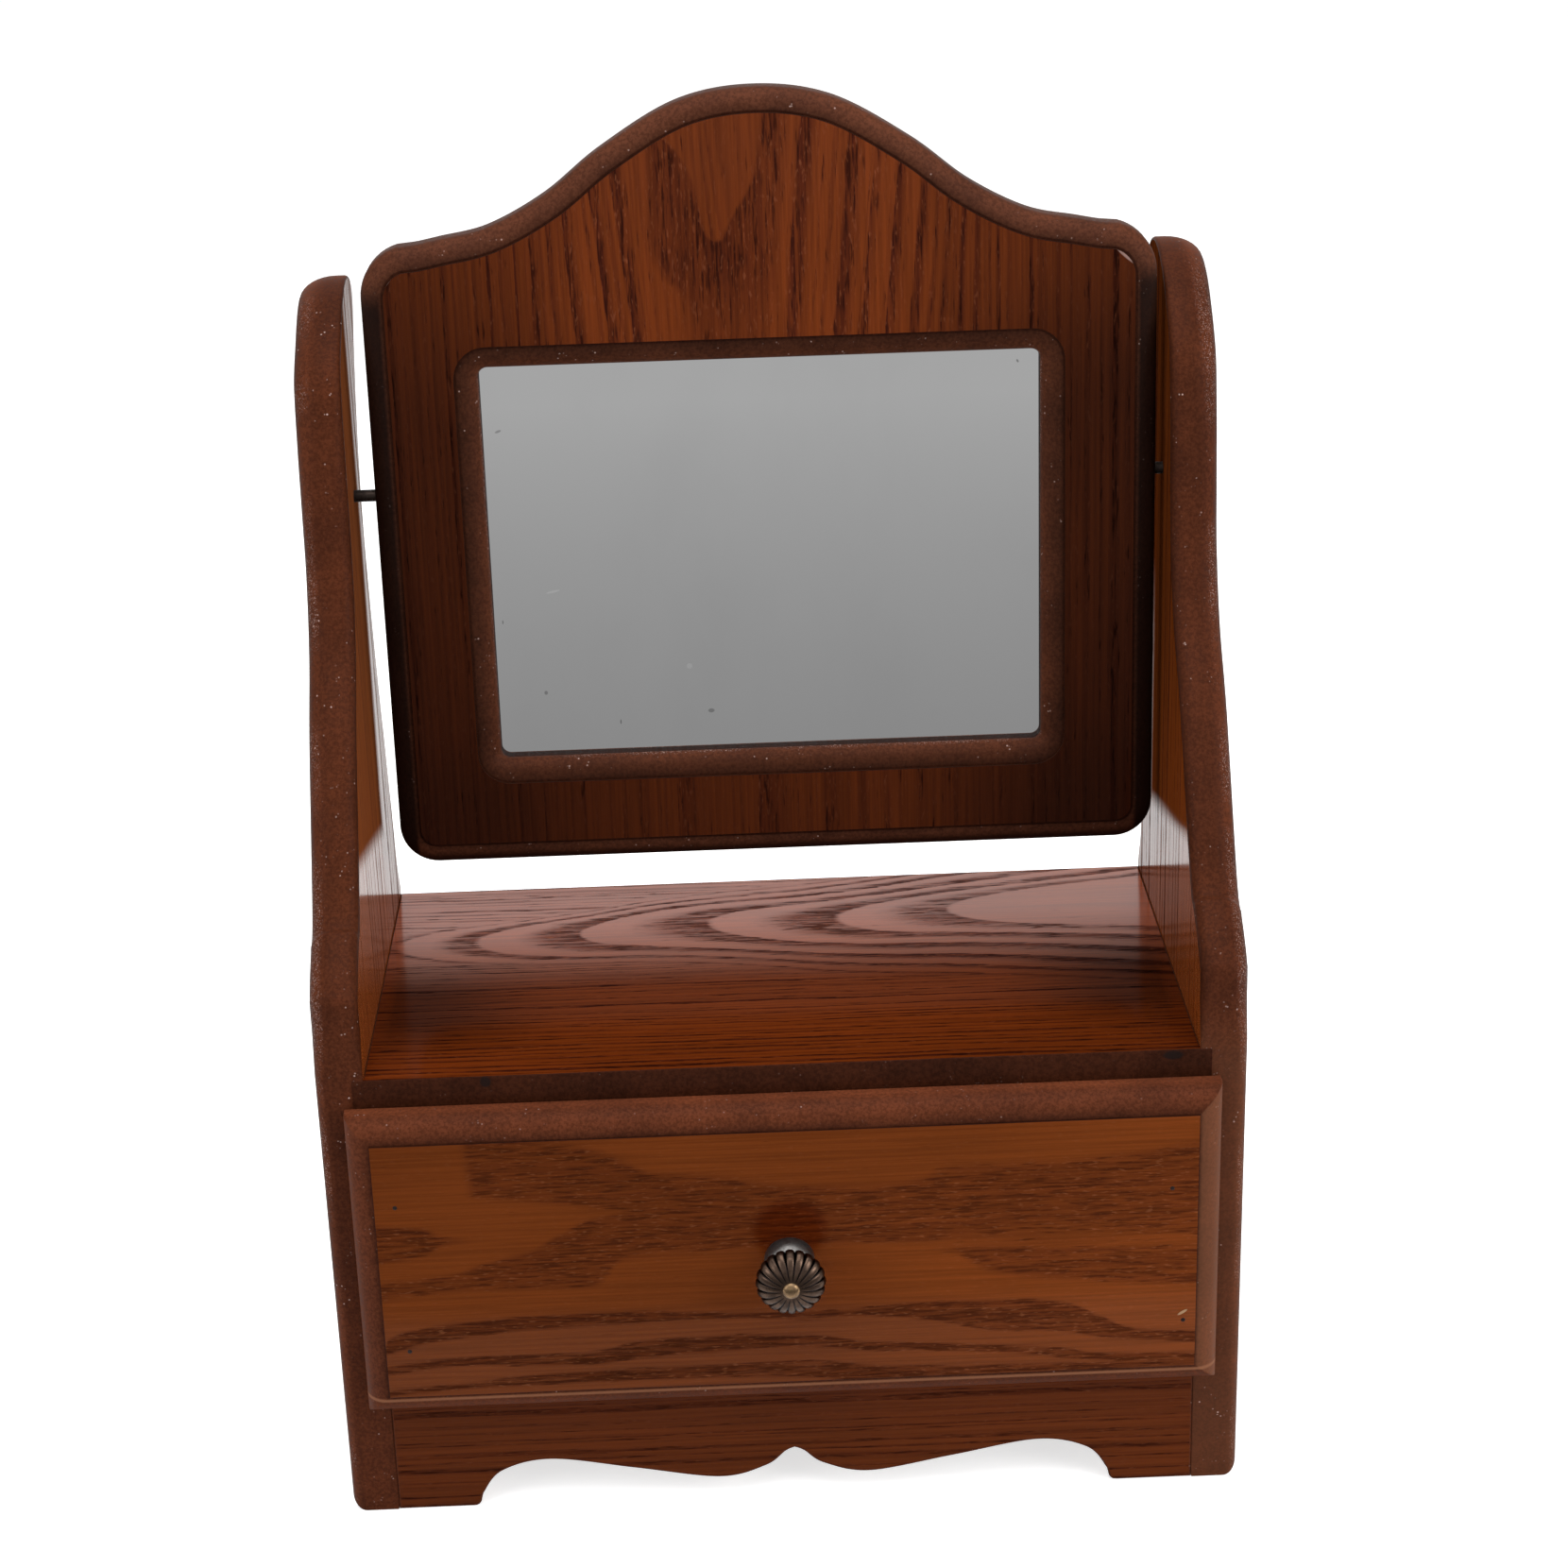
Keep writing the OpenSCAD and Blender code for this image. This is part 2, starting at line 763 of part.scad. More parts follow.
module knob() {
  flute_end = acos((knob_button_d + 1.8) / knob_d);
  color(bronze)
    placed()
      translate([0, knob_y, knob_z])
        upright()
          difference() {
            rotate_extrude()
              polygon(knob_section);
            for (i = [0 : knob_flutes - 1])
              rotate([90, 0, i * 360 / knob_flutes])
                translate([0, 0, -flute_w / 2])
                  linear_extrude(flute_w)
                    polygon(concat(
                      head_arc(flute_d, neck_angle + 12, flute_end),
                      backwards(head_arc(-over, neck_angle + 12, flute_end))
                    ));
            // Threaded hole for the screw
            translate([0, 0, -over])
              cylinder(d = knob_screw_d + 2 * pin_gap, h = knob_screw_bite + over + pin_gap);
          }
}

module knob_screw() {
  color(steel)
    placed()
      translate([0, knob_screw_head_t - front_gap, knob_z])
        upright()
          fastener(knob_screw_d, knob_screw_head_t + front_t + knob_screw_bite,
            knob_screw_head_d, knob_screw_head_t);
}

// Outline of the mirror frame, [across, up], anticlockwise from its lower right corner
shoulder_x = frame_w / 2 - shoulder_r;
crest = [
  [shoulder_x - 1.5, -37.6],
  [83, -36.4],
  [70, -33.6],
  [55, -25.8],
  [40, -14.4],
  [20, -3.2],
  [0, 0]
];
crest_curve = [for (p = curve(crest, 3)) [p[0], frame_above + p[1]]];
shoulder_z = crest_curve[0][1] - shoulder_r;
right_half = concat(
  arc([frame_w / 2 - corner_r_low, corner_r_low - frame_below], corner_r_low, -90, 0, 6),
  arc([shoulder_x, shoulder_z], shoulder_r, 0, 75, 5),
  crest_curve
);
left_half = [for (i = [len(right_half) - 2 : -1 : 0]) [-right_half[i][0], right_half[i][1]]];
frame_outline = concat(right_half, left_half);
frame_rings = concat(
  [for (a = [0 : 30 : 90]) [back_edge_r * (1 - sin(a)), back_edge_r * (1 - cos(a)), 0, 0]],
  [
    for (a = [0 : 18 : 90])
      [frame_rout_w * (1 - cos(a)), frame_t - frame_rout_d + (frame_rout_d - rout_step) * sin(a), 0, 0]
  ],
  [[frame_rout_w, frame_t, 0, 0]]
);
window_centred = round_rect(window_w, window_h, window_mid, window_r);
window_outline = [for (p = window_centred) p - [window_shift, 0]];
window_rings = concat(
  [[0, glass_front - over, 0, 0]],
  [
    for (a = [0 : 18 : 90])
      [-frame_rout_w * (1 - cos(a)), frame_t - frame_rout_d + (frame_rout_d - rout_step) * sin(a), 0, 0]
  ],
  [[-frame_rout_w, frame_t + over, 0, 0]]
);

// Box on the mirror's plane, margin wider than the window, from height z0 to z1 above the frame's back
module pane(margin, z0, z1) {
  translate([-window_w / 2 - window_shift - margin, window_low - margin, z0])
    cube([window_w + 2 * margin, window_h + 2 * margin, z1 - z0]);
}

// Places of the backing screws, [across, up]
ledge_mid = glass_lap + ledge_w / 2;
screw_inset = 24;
backing_spots = concat(
  [for (x = [-1, 1]) [x * (window_w / 2 + ledge_mid) - window_shift, window_mid]],
  [
    for (x = [-1, 1], z = [window_low - ledge_mid, window_high + ledge_mid])
      [x * (window_w / 2 - screw_inset) - window_shift, z]
  ]
);

// Backing screws, or the holes for them, on the mirror's plane
module backing_screw_row(gap = 0) {
  for (p = backing_spots)
    translate([p[0], p[1], backing_back - small_screw_head_t])
      fastener(small_screw_d, small_screw_head_t + small_screw_len,
        small_screw_head_d, small_screw_head_t, gap);
}

// Places a piece drawn on the mirror's plane, with heights from the frame's back
module on_frame() {
  on_pivot()
    translate([0, frame_t / 2, 0])
      upright()
        children();
}

module mirror_frame() {
  color(veneer)
    on_frame()
      difference() {
        plate(frame_outline, frame_rings);
        plate(window_outline, window_rings);
        pane(glass_lap, glass_back - over, glass_front);
        pane(glass_lap + ledge_w, -over, glass_back);
        backing_screw_row(pin_gap);
        // Holes for the pivot screws
        for (side = [-1, 1])
          translate([side * (frame_w / 2 + over), 0, frame_t / 2])
            rotate([0, -side * 90, 0])
              cylinder(d = pivot_d + 2 * pin_gap, h = pivot_bite + over + pin_gap);
      }
}

module mirror_glass() {
  color(silver)
    on_frame()
      pane(glass_lap - pane_gap, glass_back, glass_front);
}

module mirror_backing() {
  color(raw_board)
    on_frame()
      difference() {
        pane(glass_lap + ledge_w - pane_gap, backing_back, glass_back);
        backing_screw_row(pin_gap);
      }
}

module backing_screws() {
  color(steel)
    on_frame()
      backing_screw_row();
}

module left_pivot_screw() {
  color(steel)
    placed()
      translate([-case_w / 2, pivot[0], pivot[1]])
        pivot_screw(side_t + frame_gap + frame_shift + pivot_bite);
}

module right_pivot_screw() {
  color(steel)
    placed()
      translate([case_w / 2, pivot[0], pivot[1]])
        mirror([1, 0, 0])
          pivot_screw(side_t + frame_gap - frame_shift + pivot_bite);
}

left_side_panel();
right_side_panel();
shelf_board();
bottom_board();
back_panel();
apron();
case_nails();
back_panel_nails();
drawer_front();
drawer_left_side();
drawer_right_side();
drawer_back();
drawer_bottom();
drawer_front_nails();
drawer_back_nails();
drawer_bottom_nails();
knob();
knob_screw();
mirror_frame();
mirror_glass();
mirror_backing();
backing_screws();
left_pivot_screw();
right_pivot_screw();
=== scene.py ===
"""Looks of a table-top dressing mirror with one drawer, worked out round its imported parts.

Lengths are metres, except where a docstring says millimetres. X runs left to right, Y front to back and Z up,
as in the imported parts.
"""

import functools
import json
import math

import bmesh
import bpy
import numpy as np
from bpy.props import FloatProperty, FloatVectorProperty, IntProperty, PointerProperty
from mathutils import Matrix, Vector
from mathutils.geometry import tessellate_polygon


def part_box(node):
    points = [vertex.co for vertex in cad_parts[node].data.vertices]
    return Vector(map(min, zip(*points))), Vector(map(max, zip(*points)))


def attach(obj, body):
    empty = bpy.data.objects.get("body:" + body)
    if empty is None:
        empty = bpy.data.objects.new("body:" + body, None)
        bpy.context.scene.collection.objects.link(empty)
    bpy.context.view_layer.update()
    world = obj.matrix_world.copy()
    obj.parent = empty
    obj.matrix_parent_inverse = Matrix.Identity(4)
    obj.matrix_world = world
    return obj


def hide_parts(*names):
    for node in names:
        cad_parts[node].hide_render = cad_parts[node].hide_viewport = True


bl_info = {
    "name": "Dressing mirror with drawer",
    "version": (1, 0, 0),
    "blender": (4, 5, 0),
    "location": "3D View > Sidebar > Dressing Mirror",
    "description": "Builds the finished surfaces of a table-top dressing mirror round its packed parts",
    "category": "Add Mesh",
}

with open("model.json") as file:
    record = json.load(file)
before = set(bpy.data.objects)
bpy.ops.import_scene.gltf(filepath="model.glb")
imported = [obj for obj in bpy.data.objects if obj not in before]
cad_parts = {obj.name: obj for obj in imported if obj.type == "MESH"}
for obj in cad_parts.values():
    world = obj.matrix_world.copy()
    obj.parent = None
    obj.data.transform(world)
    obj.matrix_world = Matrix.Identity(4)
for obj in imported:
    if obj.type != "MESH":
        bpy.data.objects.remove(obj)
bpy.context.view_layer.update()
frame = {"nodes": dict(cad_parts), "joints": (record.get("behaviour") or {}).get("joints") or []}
MM = 0.001


def node_box(name):
    """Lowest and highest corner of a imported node, as two arrays."""
    low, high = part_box(name)
    return np.array(low), np.array(high)


LEFT_LOW, LEFT_HIGH = node_box("left_side_panel")
RIGHT_HIGH = node_box("right_side_panel")[1]
SHELF_LOW, SHELF_HIGH = node_box("shelf_board")
FLOOR_UNDER = node_box("bottom_board")[0][2]
BACK_LOW, BACK_HIGH = node_box("back_panel")
FRONT_LOW, FRONT_HIGH = node_box("drawer_front")
KNOB_LOW, KNOB_HIGH = node_box("knob")
TURN = next(joint for joint in frame["joints"] if joint["name"] == "mirror_turn")
AXIS_BACK, AXIS_UP = TURN["pos_m"][1:]
CASE_FRONT, CASE_DEPTH = LEFT_LOW[1], SHELF_HIGH[1] - SHELF_LOW[1]
CLEAR_X = -LEFT_HIGH[0]
SIDE_T = LEFT_HIGH[0] - LEFT_LOW[0]
BACK_T = BACK_HIGH[1] - BACK_LOW[1]
REBATE_W = BACK_HIGH[0] - CLEAR_X
SHELF_TOP = SHELF_HIGH[2]
ROUND_START, ROUND_END = SHELF_TOP + 1 * MM, SHELF_TOP + 11.6 * MM


# Sizes and colours


def linear(red, green, blue):
    """Scene-linear colour of a colour written as 0 to 255."""
    c = np.array([red, green, blue]) / 255.0
    return tuple(np.where(c <= 0.04045, c / 12.92, ((c + 0.055) / 1.055) ** 2.4).tolist())


def length(name, description, value):
    """Length property, up to a metre."""
    return FloatProperty(name=name, description=description, default=float(value), min=0.0, max=1.0,
                         precision=5, subtype="DISTANCE", unit="LENGTH")


def colour(name, description, value):
    """Colour property, written as 0 to 255."""
    return FloatVectorProperty(name=name, description=description, default=linear(*value), min=0.0, max=1.0,
                               size=3, subtype="COLOR")


class MirrorSizes(bpy.types.PropertyGroup):
    """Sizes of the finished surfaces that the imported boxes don't give."""

    outer_round: length("Outer rounding", "Rounding of the side panels' outer edges, up to the shelf", 4 * MM)
    arm_round: length("Arm rounding", "Rounding of the arms' outer edges", 6 * MM)
    tip_round: length("Tip rounding", "How far the outer rounding reaches in at the arms' tops", 9.6 * MM)
    inner_round: length("Inner rounding", "Rounding of the arms' inner edges", 3 * MM)
    left_head: length("Left arm", "Height of the left arm's top above the turning axis", LEFT_HIGH[2] - AXIS_UP)
    right_head: length("Right arm", "Height of the right arm's top above the turning axis",
                       RIGHT_HIGH[2] - AXIS_UP)
    rout_step: length("Veneer step", "Height of the small step where a routed edge meets the veneer", 0.5 * MM)
    drawer_rout_w: length("Drawer rout width", "Width of the routed edge round the drawer front", 6.5 * MM)
    drawer_rout_d: length("Drawer rout depth", "Depth of the routed edge round the drawer front", 6.8 * MM)
    frame_rout_w: length("Frame rout width", "Width of the routed edges of the mirror frame", 6.1 * MM)
    frame_rout_d: length("Frame rout depth", "Depth of the routed edges of the mirror frame", 4.7 * MM)
    ease: length("Eased edge", "Rounding of the apron's sanded edges", 0.5 * MM)
    frame_lean: FloatProperty(name="Frame lean", description="How far the frame leans back at rest",
                              default=math.radians(1.8), subtype="ANGLE", unit="ROTATION")
    knob_petals: IntProperty(name="Knob petals", description="Number of petals round the knob", default=20, min=8,
                             max=40)


class MirrorColours(bpy.types.PropertyGroup):
    """Colours of the stained wood, the metal and the glass."""

    late_wood: colour("Late wood", "Smooth bright wood between the pores", (112, 54, 19))
    early_wood: colour("Early wood", "Darker wood of the open-pored bands", (76, 35, 20))
    # Painted highlight: this bright colour stands for light caught on the pores' rims.
    pore: colour("Pores", "Stain in the open pores", (44, 20, 13))
    pore_glint: colour("Flecks", "Bright rims of the pores", (140, 84, 52))
    edge: colour("Routed edge", "Smooth stained edges of the fibreboard", (86, 44, 26))
    edge_dark: colour("Routed edge, dark", "Deep patches of the stain on the edges", (66, 33, 20))
    # Painted shade: this nearly black colour darkens the frame's edges that face the arms, and its underside.
    edge_shadow: colour("Routed edge, deep", "Nearly black stain of the edges that face the arms", (16, 8, 6))
    # Painted light: this pale colour brightens routed edges where light falls on them, on the right side panel and the
    # drawer front.
    edge_highlight: colour("Routed edge, worn", "Light stain of the edges where they are worn", (138, 92, 66))
    # Pale dust specks on the edges, and also the colour of painted glints and painted highlights.
    dust_and_glint: colour("Dust", "Pale specks on the edges", (190, 160, 150))
    raw_board: colour("Plain board", "Thinly stained fibreboard inside the case", (112, 74, 50))
    bronze: colour("Bronze", "Antique bronze of the knob", (78, 62, 52))
    bronze_dark: colour("Bronze, dark", "Patina in the knob's flutes", (24, 19, 18))
    foot: colour("Foot of the knob", "Smooth dark metal of the knob's foot", (112, 110, 108))
    brass: colour("Worn brass", "Worn button in the middle of the knob", (128, 104, 76))
    steel: colour("Steel", "Darkened steel of the screws and nails", (52, 44, 40))
    silver: colour("Silvering", "Light that the looking glass gives back", (228, 228, 228))
    filler: colour("Filler", "Pale filler over a brad", (176, 150, 112))


def sizes():
    """The sizes set in the scene."""
    return bpy.context.scene.mirror_sizes


# Outlines and meshes


def spline(knots, steps):
    """Smooth curve through the knots. Between b and c, with neighbours a and d, the point at share t is
    half of 2b + (c - a)t + (2a - 5b + 4c - d)t^2 + (3b - a - 3c + d)t^3."""
    p = np.asarray(knots, float)
    q = np.vstack([p[:1], p, p[-1:]])[:, None, :]
    a, b, c, d = q[:-3], q[1:-2], q[2:-1], q[3:]
    t = np.linspace(0, 1, steps, endpoint=False)[None, :, None]
    body = 0.5 * (2 * b + (c - a) * t + (2 * a - 5 * b + 4 * c - d) * t**2 + (3 * b - a - 3 * c + d) * t**3)
    return np.vstack([body.reshape(-1, p.shape[1]), p[-1:]])


def arc(centre, radius, start, end, count):
    """Arc: centre + radius (cos a, sin a), with a from start to end in degrees."""
    a = np.radians(np.linspace(start, end, count))
    return np.asarray(centre) + radius * np.stack([np.cos(a), np.sin(a)], 1)


def run(start, end, count):
    """Points strictly between two corners, evenly spaced."""
    t = (np.arange(count) + 1)[:, None] / (count + 1)
    return np.asarray(start) + (np.asarray(end) - np.asarray(start)) * t


def spaced(line, count):
    """Points strictly between a curve's ends, at even steps of its length."""
    along = np.concatenate([[0], np.cumsum(np.linalg.norm(np.diff(line, axis=0), axis=1))])
    at = (np.arange(count) + 1) / (count + 1) * along[-1]
    return np.stack([np.interp(at, along, line[:, k]) for k in range(2)], 1)


def outward(outline):
    """Outward step at each corner that moves both its edges by one unit: (n1 + n2) / (1 + n1.n2), with n1
    and n2 the normals of the edges before and after it. The outline runs anticlockwise."""
    edge = np.roll(outline, -1, 0) - outline
    normal = np.stack([edge[:, 1], -edge[:, 0]], 1) / np.linalg.norm(edge, axis=1, keepdims=True)
    before = np.roll(normal, 1, 0)
    return (before + normal) / (1 + (before * normal).sum(1, keepdims=True))


def grid(rows, columns, wrap_rows=False):
    """Quads of a grid of rows of points, closed along each row, and from the last row to the first one too
    where wrap_rows is set."""
    r, c = np.meshgrid(np.arange(rows if wrap_rows else rows - 1), np.arange(columns), indexing="ij")
    r1, c1 = (r + 1) % rows, (c + 1) % columns
    return np.stack([r * columns + c, r * columns + c1, r1 * columns + c1, r1 * columns + c], -1).reshape(-1, 4)


def add_piece(name, points, faces, kinds, materials, body, stands_for, sharp=30.0, rim=None):
    """Puts points and faces into a mesh, gives each face the material of its kind, turns the faces outwards
    and lets the piece ride on its body. Rim is a number for each point that the materials read: the painted light and
    shade across a routed edge, or the knob's flutes."""
    mesh = bpy.data.meshes.new(name)
    mesh.from_pydata(np.asarray(points, float).tolist(), [], faces)
    for material in materials:
        mesh.materials.append(material)
    mesh.polygons.foreach_set("material_index", np.asarray(kinds, np.int32))
    mesh.polygons.foreach_set("use_smooth", np.ones(len(mesh.polygons), bool))
    if rim is not None:
        mesh.attributes.new("rim", "FLOAT", "POINT").data.foreach_set("value", np.asarray(rim, np.float32))
    work = bmesh.new()
    work.from_mesh(mesh)
    bmesh.ops.remove_doubles(work, verts=work.verts, dist=1e-6)
    bmesh.ops.recalc_face_normals(work, faces=work.faces)
    work.to_mesh(mesh)
    work.free()
    mesh.set_sharp_from_angle(angle=math.radians(sharp))
    piece = bpy.data.objects.new(name, mesh)
    bpy.context.scene.collection.objects.link(piece)
    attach(piece, body)
    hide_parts(stands_for)


def stack(loops, kinds=None, first_cap=0, last_cap=0):
    """Points, faces and kinds of loops joined one to the next, with a flat cap of triangles at either end.
    There is one kind for each strip between two loops."""
    loops = np.asarray(loops)
    rows, columns = loops.shape[:2]
    kinds = [0] * (rows - 1) if kinds is None else kinds
    caps, cap_kinds = [], []
    for row, kind in ((0, first_cap), (rows - 1, last_cap)):
        triangles = tessellate_polygon([[Vector(p) for p in loops[row]]])
        caps += [[corner + row * columns for corner in triangle] for triangle in triangles]
        cap_kinds += [kind] * len(triangles)
    faces = grid(rows, columns).tolist() + caps
    return loops.reshape(-1, 3), faces, np.concatenate([np.repeat(kinds, columns), cap_kinds])


def raised(flat, height):
    """Flat points at a height, which may vary from point to point."""
    return np.column_stack([flat, np.broadcast_to(height, len(flat))])


def plate_loops(outline, rings):
    """Loops of a plate on an outline: each ring is (inset, height), where either may vary along the outline."""
    step = outward(outline)
    return np.array([raised(outline - np.broadcast_to(inset, len(outline))[:, None] * step, height)
                     for inset, height in rings])


def rounding(inset, depth, count):
    """Rings of a quarter circle at a plate's lower rim: (inset (1 - sin a), depth (1 - cos a))."""
    return [(inset * (1 - math.sin(a)), depth * (1 - math.cos(a))) for a in np.radians(np.linspace(0, 90, count))]


def hollow(width, base, rise, count):
    """Rings of a routed edge: (width (1 - cos a), base + rise sin a)."""
    return [(width * (1 - math.cos(a)), base + rise * math.sin(a)) for a in np.radians(np.linspace(0, 90, count))]


def eased(thick, ease, steps=4):
    """Rings of a plate whose two rims are rounded by ease, with a narrow flat ring inside each rim so that
    the light runs flat over the faces."""
    rings = [(ease * 1.8, 0.0)] + rounding(ease, ease, steps)
    return rings + [(inset, thick - height) for inset, height in reversed(rings)]


def rim_share(rings, first, last, columns):
    """Share of the way along the profile from ring first to ring last, for each point of the loops."""
    p = np.array([(np.max(inset), np.max(height)) for inset, height in rings])
    along = np.concatenate([[0], np.cumsum(np.linalg.norm(np.diff(p, axis=0), axis=1))])
    share = np.clip((along - along[first]) / (along[last] - along[first]), 0, 1)
    return np.repeat(share, columns)


def rectangle_loops(half_w, half_h, radius, rings, middle=(0.0, 0.0)):
    """Loops of a rectangle with round corners, anticlockwise from its lower right corner, one for each ring
    (inset, height). The corner's radius shrinks with the inset down to a sharp mitre."""
    loops = []
    for inset, height in rings:
        r = max(radius - inset, 0.01 * MM)
        x, y = half_w - inset - r, half_h - inset - r
        corners = ((x, -y, -90), (x, y, 0), (-x, y, 90), (-x, -y, 180))
        flat = np.vstack([arc((u + middle[0], v + middle[1]), r, a, a + 90, 4) for u, v, a in corners])
        loops.append(raised(flat, height))
    return np.array(loops)


def stood_up(points, back, up=0.0):
    """Points [across, up, forward] of a plate or a turned solid, stood on the plane at back."""
    return np.stack([points[:, 0], back - points[:, 2], points[:, 1] + up], 1)


def board(name, node, body, ease, shorten=0.0):
    """Sanded plain board in a node's box: a rounded rectangle in the plane of its two longer sides, carried
    through its thickness with eased rims."""
    low, high = node_box(node)
    high[1] -= shorten
    size = high - low
    thin = int(np.argmin(size))
    u, v = [(1, 2), (2, 0), (0, 1)][thin]
    points, faces, kinds = stack(rectangle_loops(size[u] / 2, size[v] / 2, ease, eased(size[thin], ease)))
    placed = np.empty_like(points)
    placed[:, u] = points[:, 0] + (low[u] + high[u]) / 2
    placed[:, v] = points[:, 1] + (low[v] + high[v]) / 2
    placed[:, thin] = points[:, 2] + low[thin]
    add_piece(name, placed, faces, kinds, [finishes().plain("plain_board")], body, node)


def lathe(profile, count, wave=0.0):
    """Loops of a turned solid: point (r cos a, r sin a, z) for each profile point (r, z), with the radius
    multiplied by 1 + wave, a number for each profile point and angle."""
    a = np.linspace(0, 2 * np.pi, count, endpoint=False)
    r = np.repeat(profile[:, :1], count, 1) * (1 + wave)
    return np.stack([r * np.cos(a), r * np.sin(a), np.repeat(profile[:, 1:], count, 1)], -1)


# Shader nodes


class Wire:
    """Output of a node. Sums, differences and products of wires are worked out by Math nodes."""

    __array_ufunc__ = None  # lets a numpy number leave the sum to the wire

    def __init__(self, shader, socket):
        self.shader, self.socket = shader, socket

    def __add__(self, other):
        return self.shader.math("ADD", self, other)

    def __sub__(self, other):
        return self.shader.math("SUBTRACT", self, other)

    def __rsub__(self, other):
        return self.shader.math("SUBTRACT", other, self)

    def __mul__(self, other):
        return self.shader.math("MULTIPLY", self, other)

    def __abs__(self):
        return self.shader.math("ABSOLUTE", self)


class Shader:
    """Short names for the shader nodes of one tree."""

    def __init__(self, tree):
        self.tree = tree

    def feed(self, socket, value):
        """Links a wire to a socket, or sets the socket's own value."""
        if isinstance(value, Wire):
            self.tree.links.new(value.socket, socket)
            return
        if hasattr(value, "__len__"):
            value = (*value, 1.0) if socket.type == "RGBA" else tuple(value)
        socket.default_value = value

    def fill(self, node, values):
        """Feeds a node's inputs from values, a dict of input to value."""
        for key, value in values.items():
            self.feed(node.inputs[key], value)
        return node

    def add(self, kind, values, **settings):
        """Adds a node, applies its settings and fills its inputs."""
        node = self.tree.nodes.new(kind)
        for key, value in settings.items():
            setattr(node, key, value)
        return self.fill(node, values)

    def out(self, kind, values, key=0, **settings):
        """Adds a node and gives its output."""
        return Wire(self, self.add(kind, values, **settings).outputs[key])

    def group(self, tree, values):
        """Adds a node group and gives its outputs by name."""
        node = self.add("ShaderNodeGroup", values, node_tree=tree)
        return {socket.name: Wire(self, socket) for socket in node.outputs}

    def math(self, operation, a, b=0.0, clamp=False):
        """Math node."""
        return self.out("ShaderNodeMath", {0: a, 1: b}, operation=operation, use_clamp=clamp)

    def most(self, *values):
        """Largest of the values."""
        return functools.reduce(lambda a, b: self.math("MAXIMUM", a, b), values)

    def mix(self, share, a, b, blend="MIX"):
        """Mix of two colours."""
        return self.out("ShaderNodeMix", {0: share, 6: a, 7: b}, 2, data_type="RGBA", blend_type=blend,
                        clamp_factor=True)

    def span(self, value, low, high, to_low=0.0, to_high=1.0, smooth=True):
        """Map Range from low..high to to_low..to_high."""
        return self.out("ShaderNodeMapRange", {0: value, 1: low, 2: high, 3: to_low, 4: to_high},
                        interpolation_type="SMOOTHSTEP" if smooth else "LINEAR")

    def ramp(self, value, low, high, to_low=0.0, to_high=1.0):
        """Smooth Map Range of a length, from low..high in millimetres."""
        return self.span(value, low * MM, high * MM, to_low, to_high)

    def noise(self, vector, scale, detail=2.0, rough=0.5):
        """Noise texture."""
        return self.out("ShaderNodeTexNoise", {"Vector": vector, "Scale": scale, "Detail": detail,
                                               "Roughness": rough})

    def grain(self, place, across, along, detail, rough=0.5):
        """Noise with its own scale across and along the grain."""
        return self.noise(self.stretch(place, (across, along, 1.0)), 1.0, detail, rough)

    def dots(self, place, scale, near, far):
        """Round dots with soft edges, one to each cell of a Voronoi texture."""
        away = self.out("ShaderNodeTexVoronoi", {"Vector": place, "Scale": scale}, "Distance", feature="F1")
        return self.span(away, near, far, 1.0, 0.0)

    def stretch(self, vector, scale):
        """Vector times a scale for each axis."""
        return self.out("ShaderNodeVectorMath", {0: vector, 1: scale}, operation="MULTIPLY")

    def parts(self, vector):
        """The three numbers of a vector."""
        return [Wire(self, socket) for socket in self.add("ShaderNodeSeparateXYZ", {0: vector}).outputs]

    def join(self, x, y, z):
        """Vector from three numbers."""
        return self.out("ShaderNodeCombineXYZ", {0: x, 1: y, 2: z})

    def tinted(self, body, tint, light=(1.0, 1.0, 1.0)):
        """Colour times a tint, with a share of the light for each channel."""
        return self.mix(1.0, body, self.stretch(self.join(tint, tint, tint), light), "MULTIPLY")

    def bump(self, height, strength, distance):
        """Bump node."""
        return self.out("ShaderNodeBump", {"Height": height, "Strength": strength, "Distance": distance})

    def rim(self):
        """The number that a piece's points carry for its edge's painted light and shade, or for the knob's flutes."""
        return self.out("ShaderNodeAttribute", {}, "Fac", attribute_name="rim")

    def line(self, value, points):
        """Smooth curve through points (value, result), both from 0 to 1."""
        node = self.add("ShaderNodeFloatCurve", {1: value})
        line = node.mapping.curves[0]
        line.points[0].location = points[0]
        line.points[1].location = points[-1]
        for at in points[1:-1]:
            line.points.new(*at)
        node.mapping.update()
        return Wire(self, node.outputs[0])


def open_group(name, **inputs):
    """Shader node group with named inputs, a number each, or None for a vector. Gives its shader and its
    inputs as wires."""
    s = Shader(bpy.data.node_groups.new(name, "ShaderNodeTree"))
    for label, value in inputs.items():
        kind = "NodeSocketVector" if value is None else "NodeSocketFloat"
        socket = s.tree.interface.new_socket(name=label, in_out="INPUT", socket_type=kind)
        if value is not None:
            socket.default_value = value
    return s, [Wire(s, socket) for socket in s.add("NodeGroupInput", {}).outputs[:len(inputs)]]


def close_group(s, **results):
    """Gives a node group its named outputs, and returns its tree."""
    for label, wire in results.items():
        kind = "NodeSocketVector" if wire.socket.type == "VECTOR" else "NodeSocketFloat"
        s.tree.interface.new_socket(name=label, in_out="OUTPUT", socket_type=kind)
    s.add("NodeGroupOutput", results)
    return s.tree


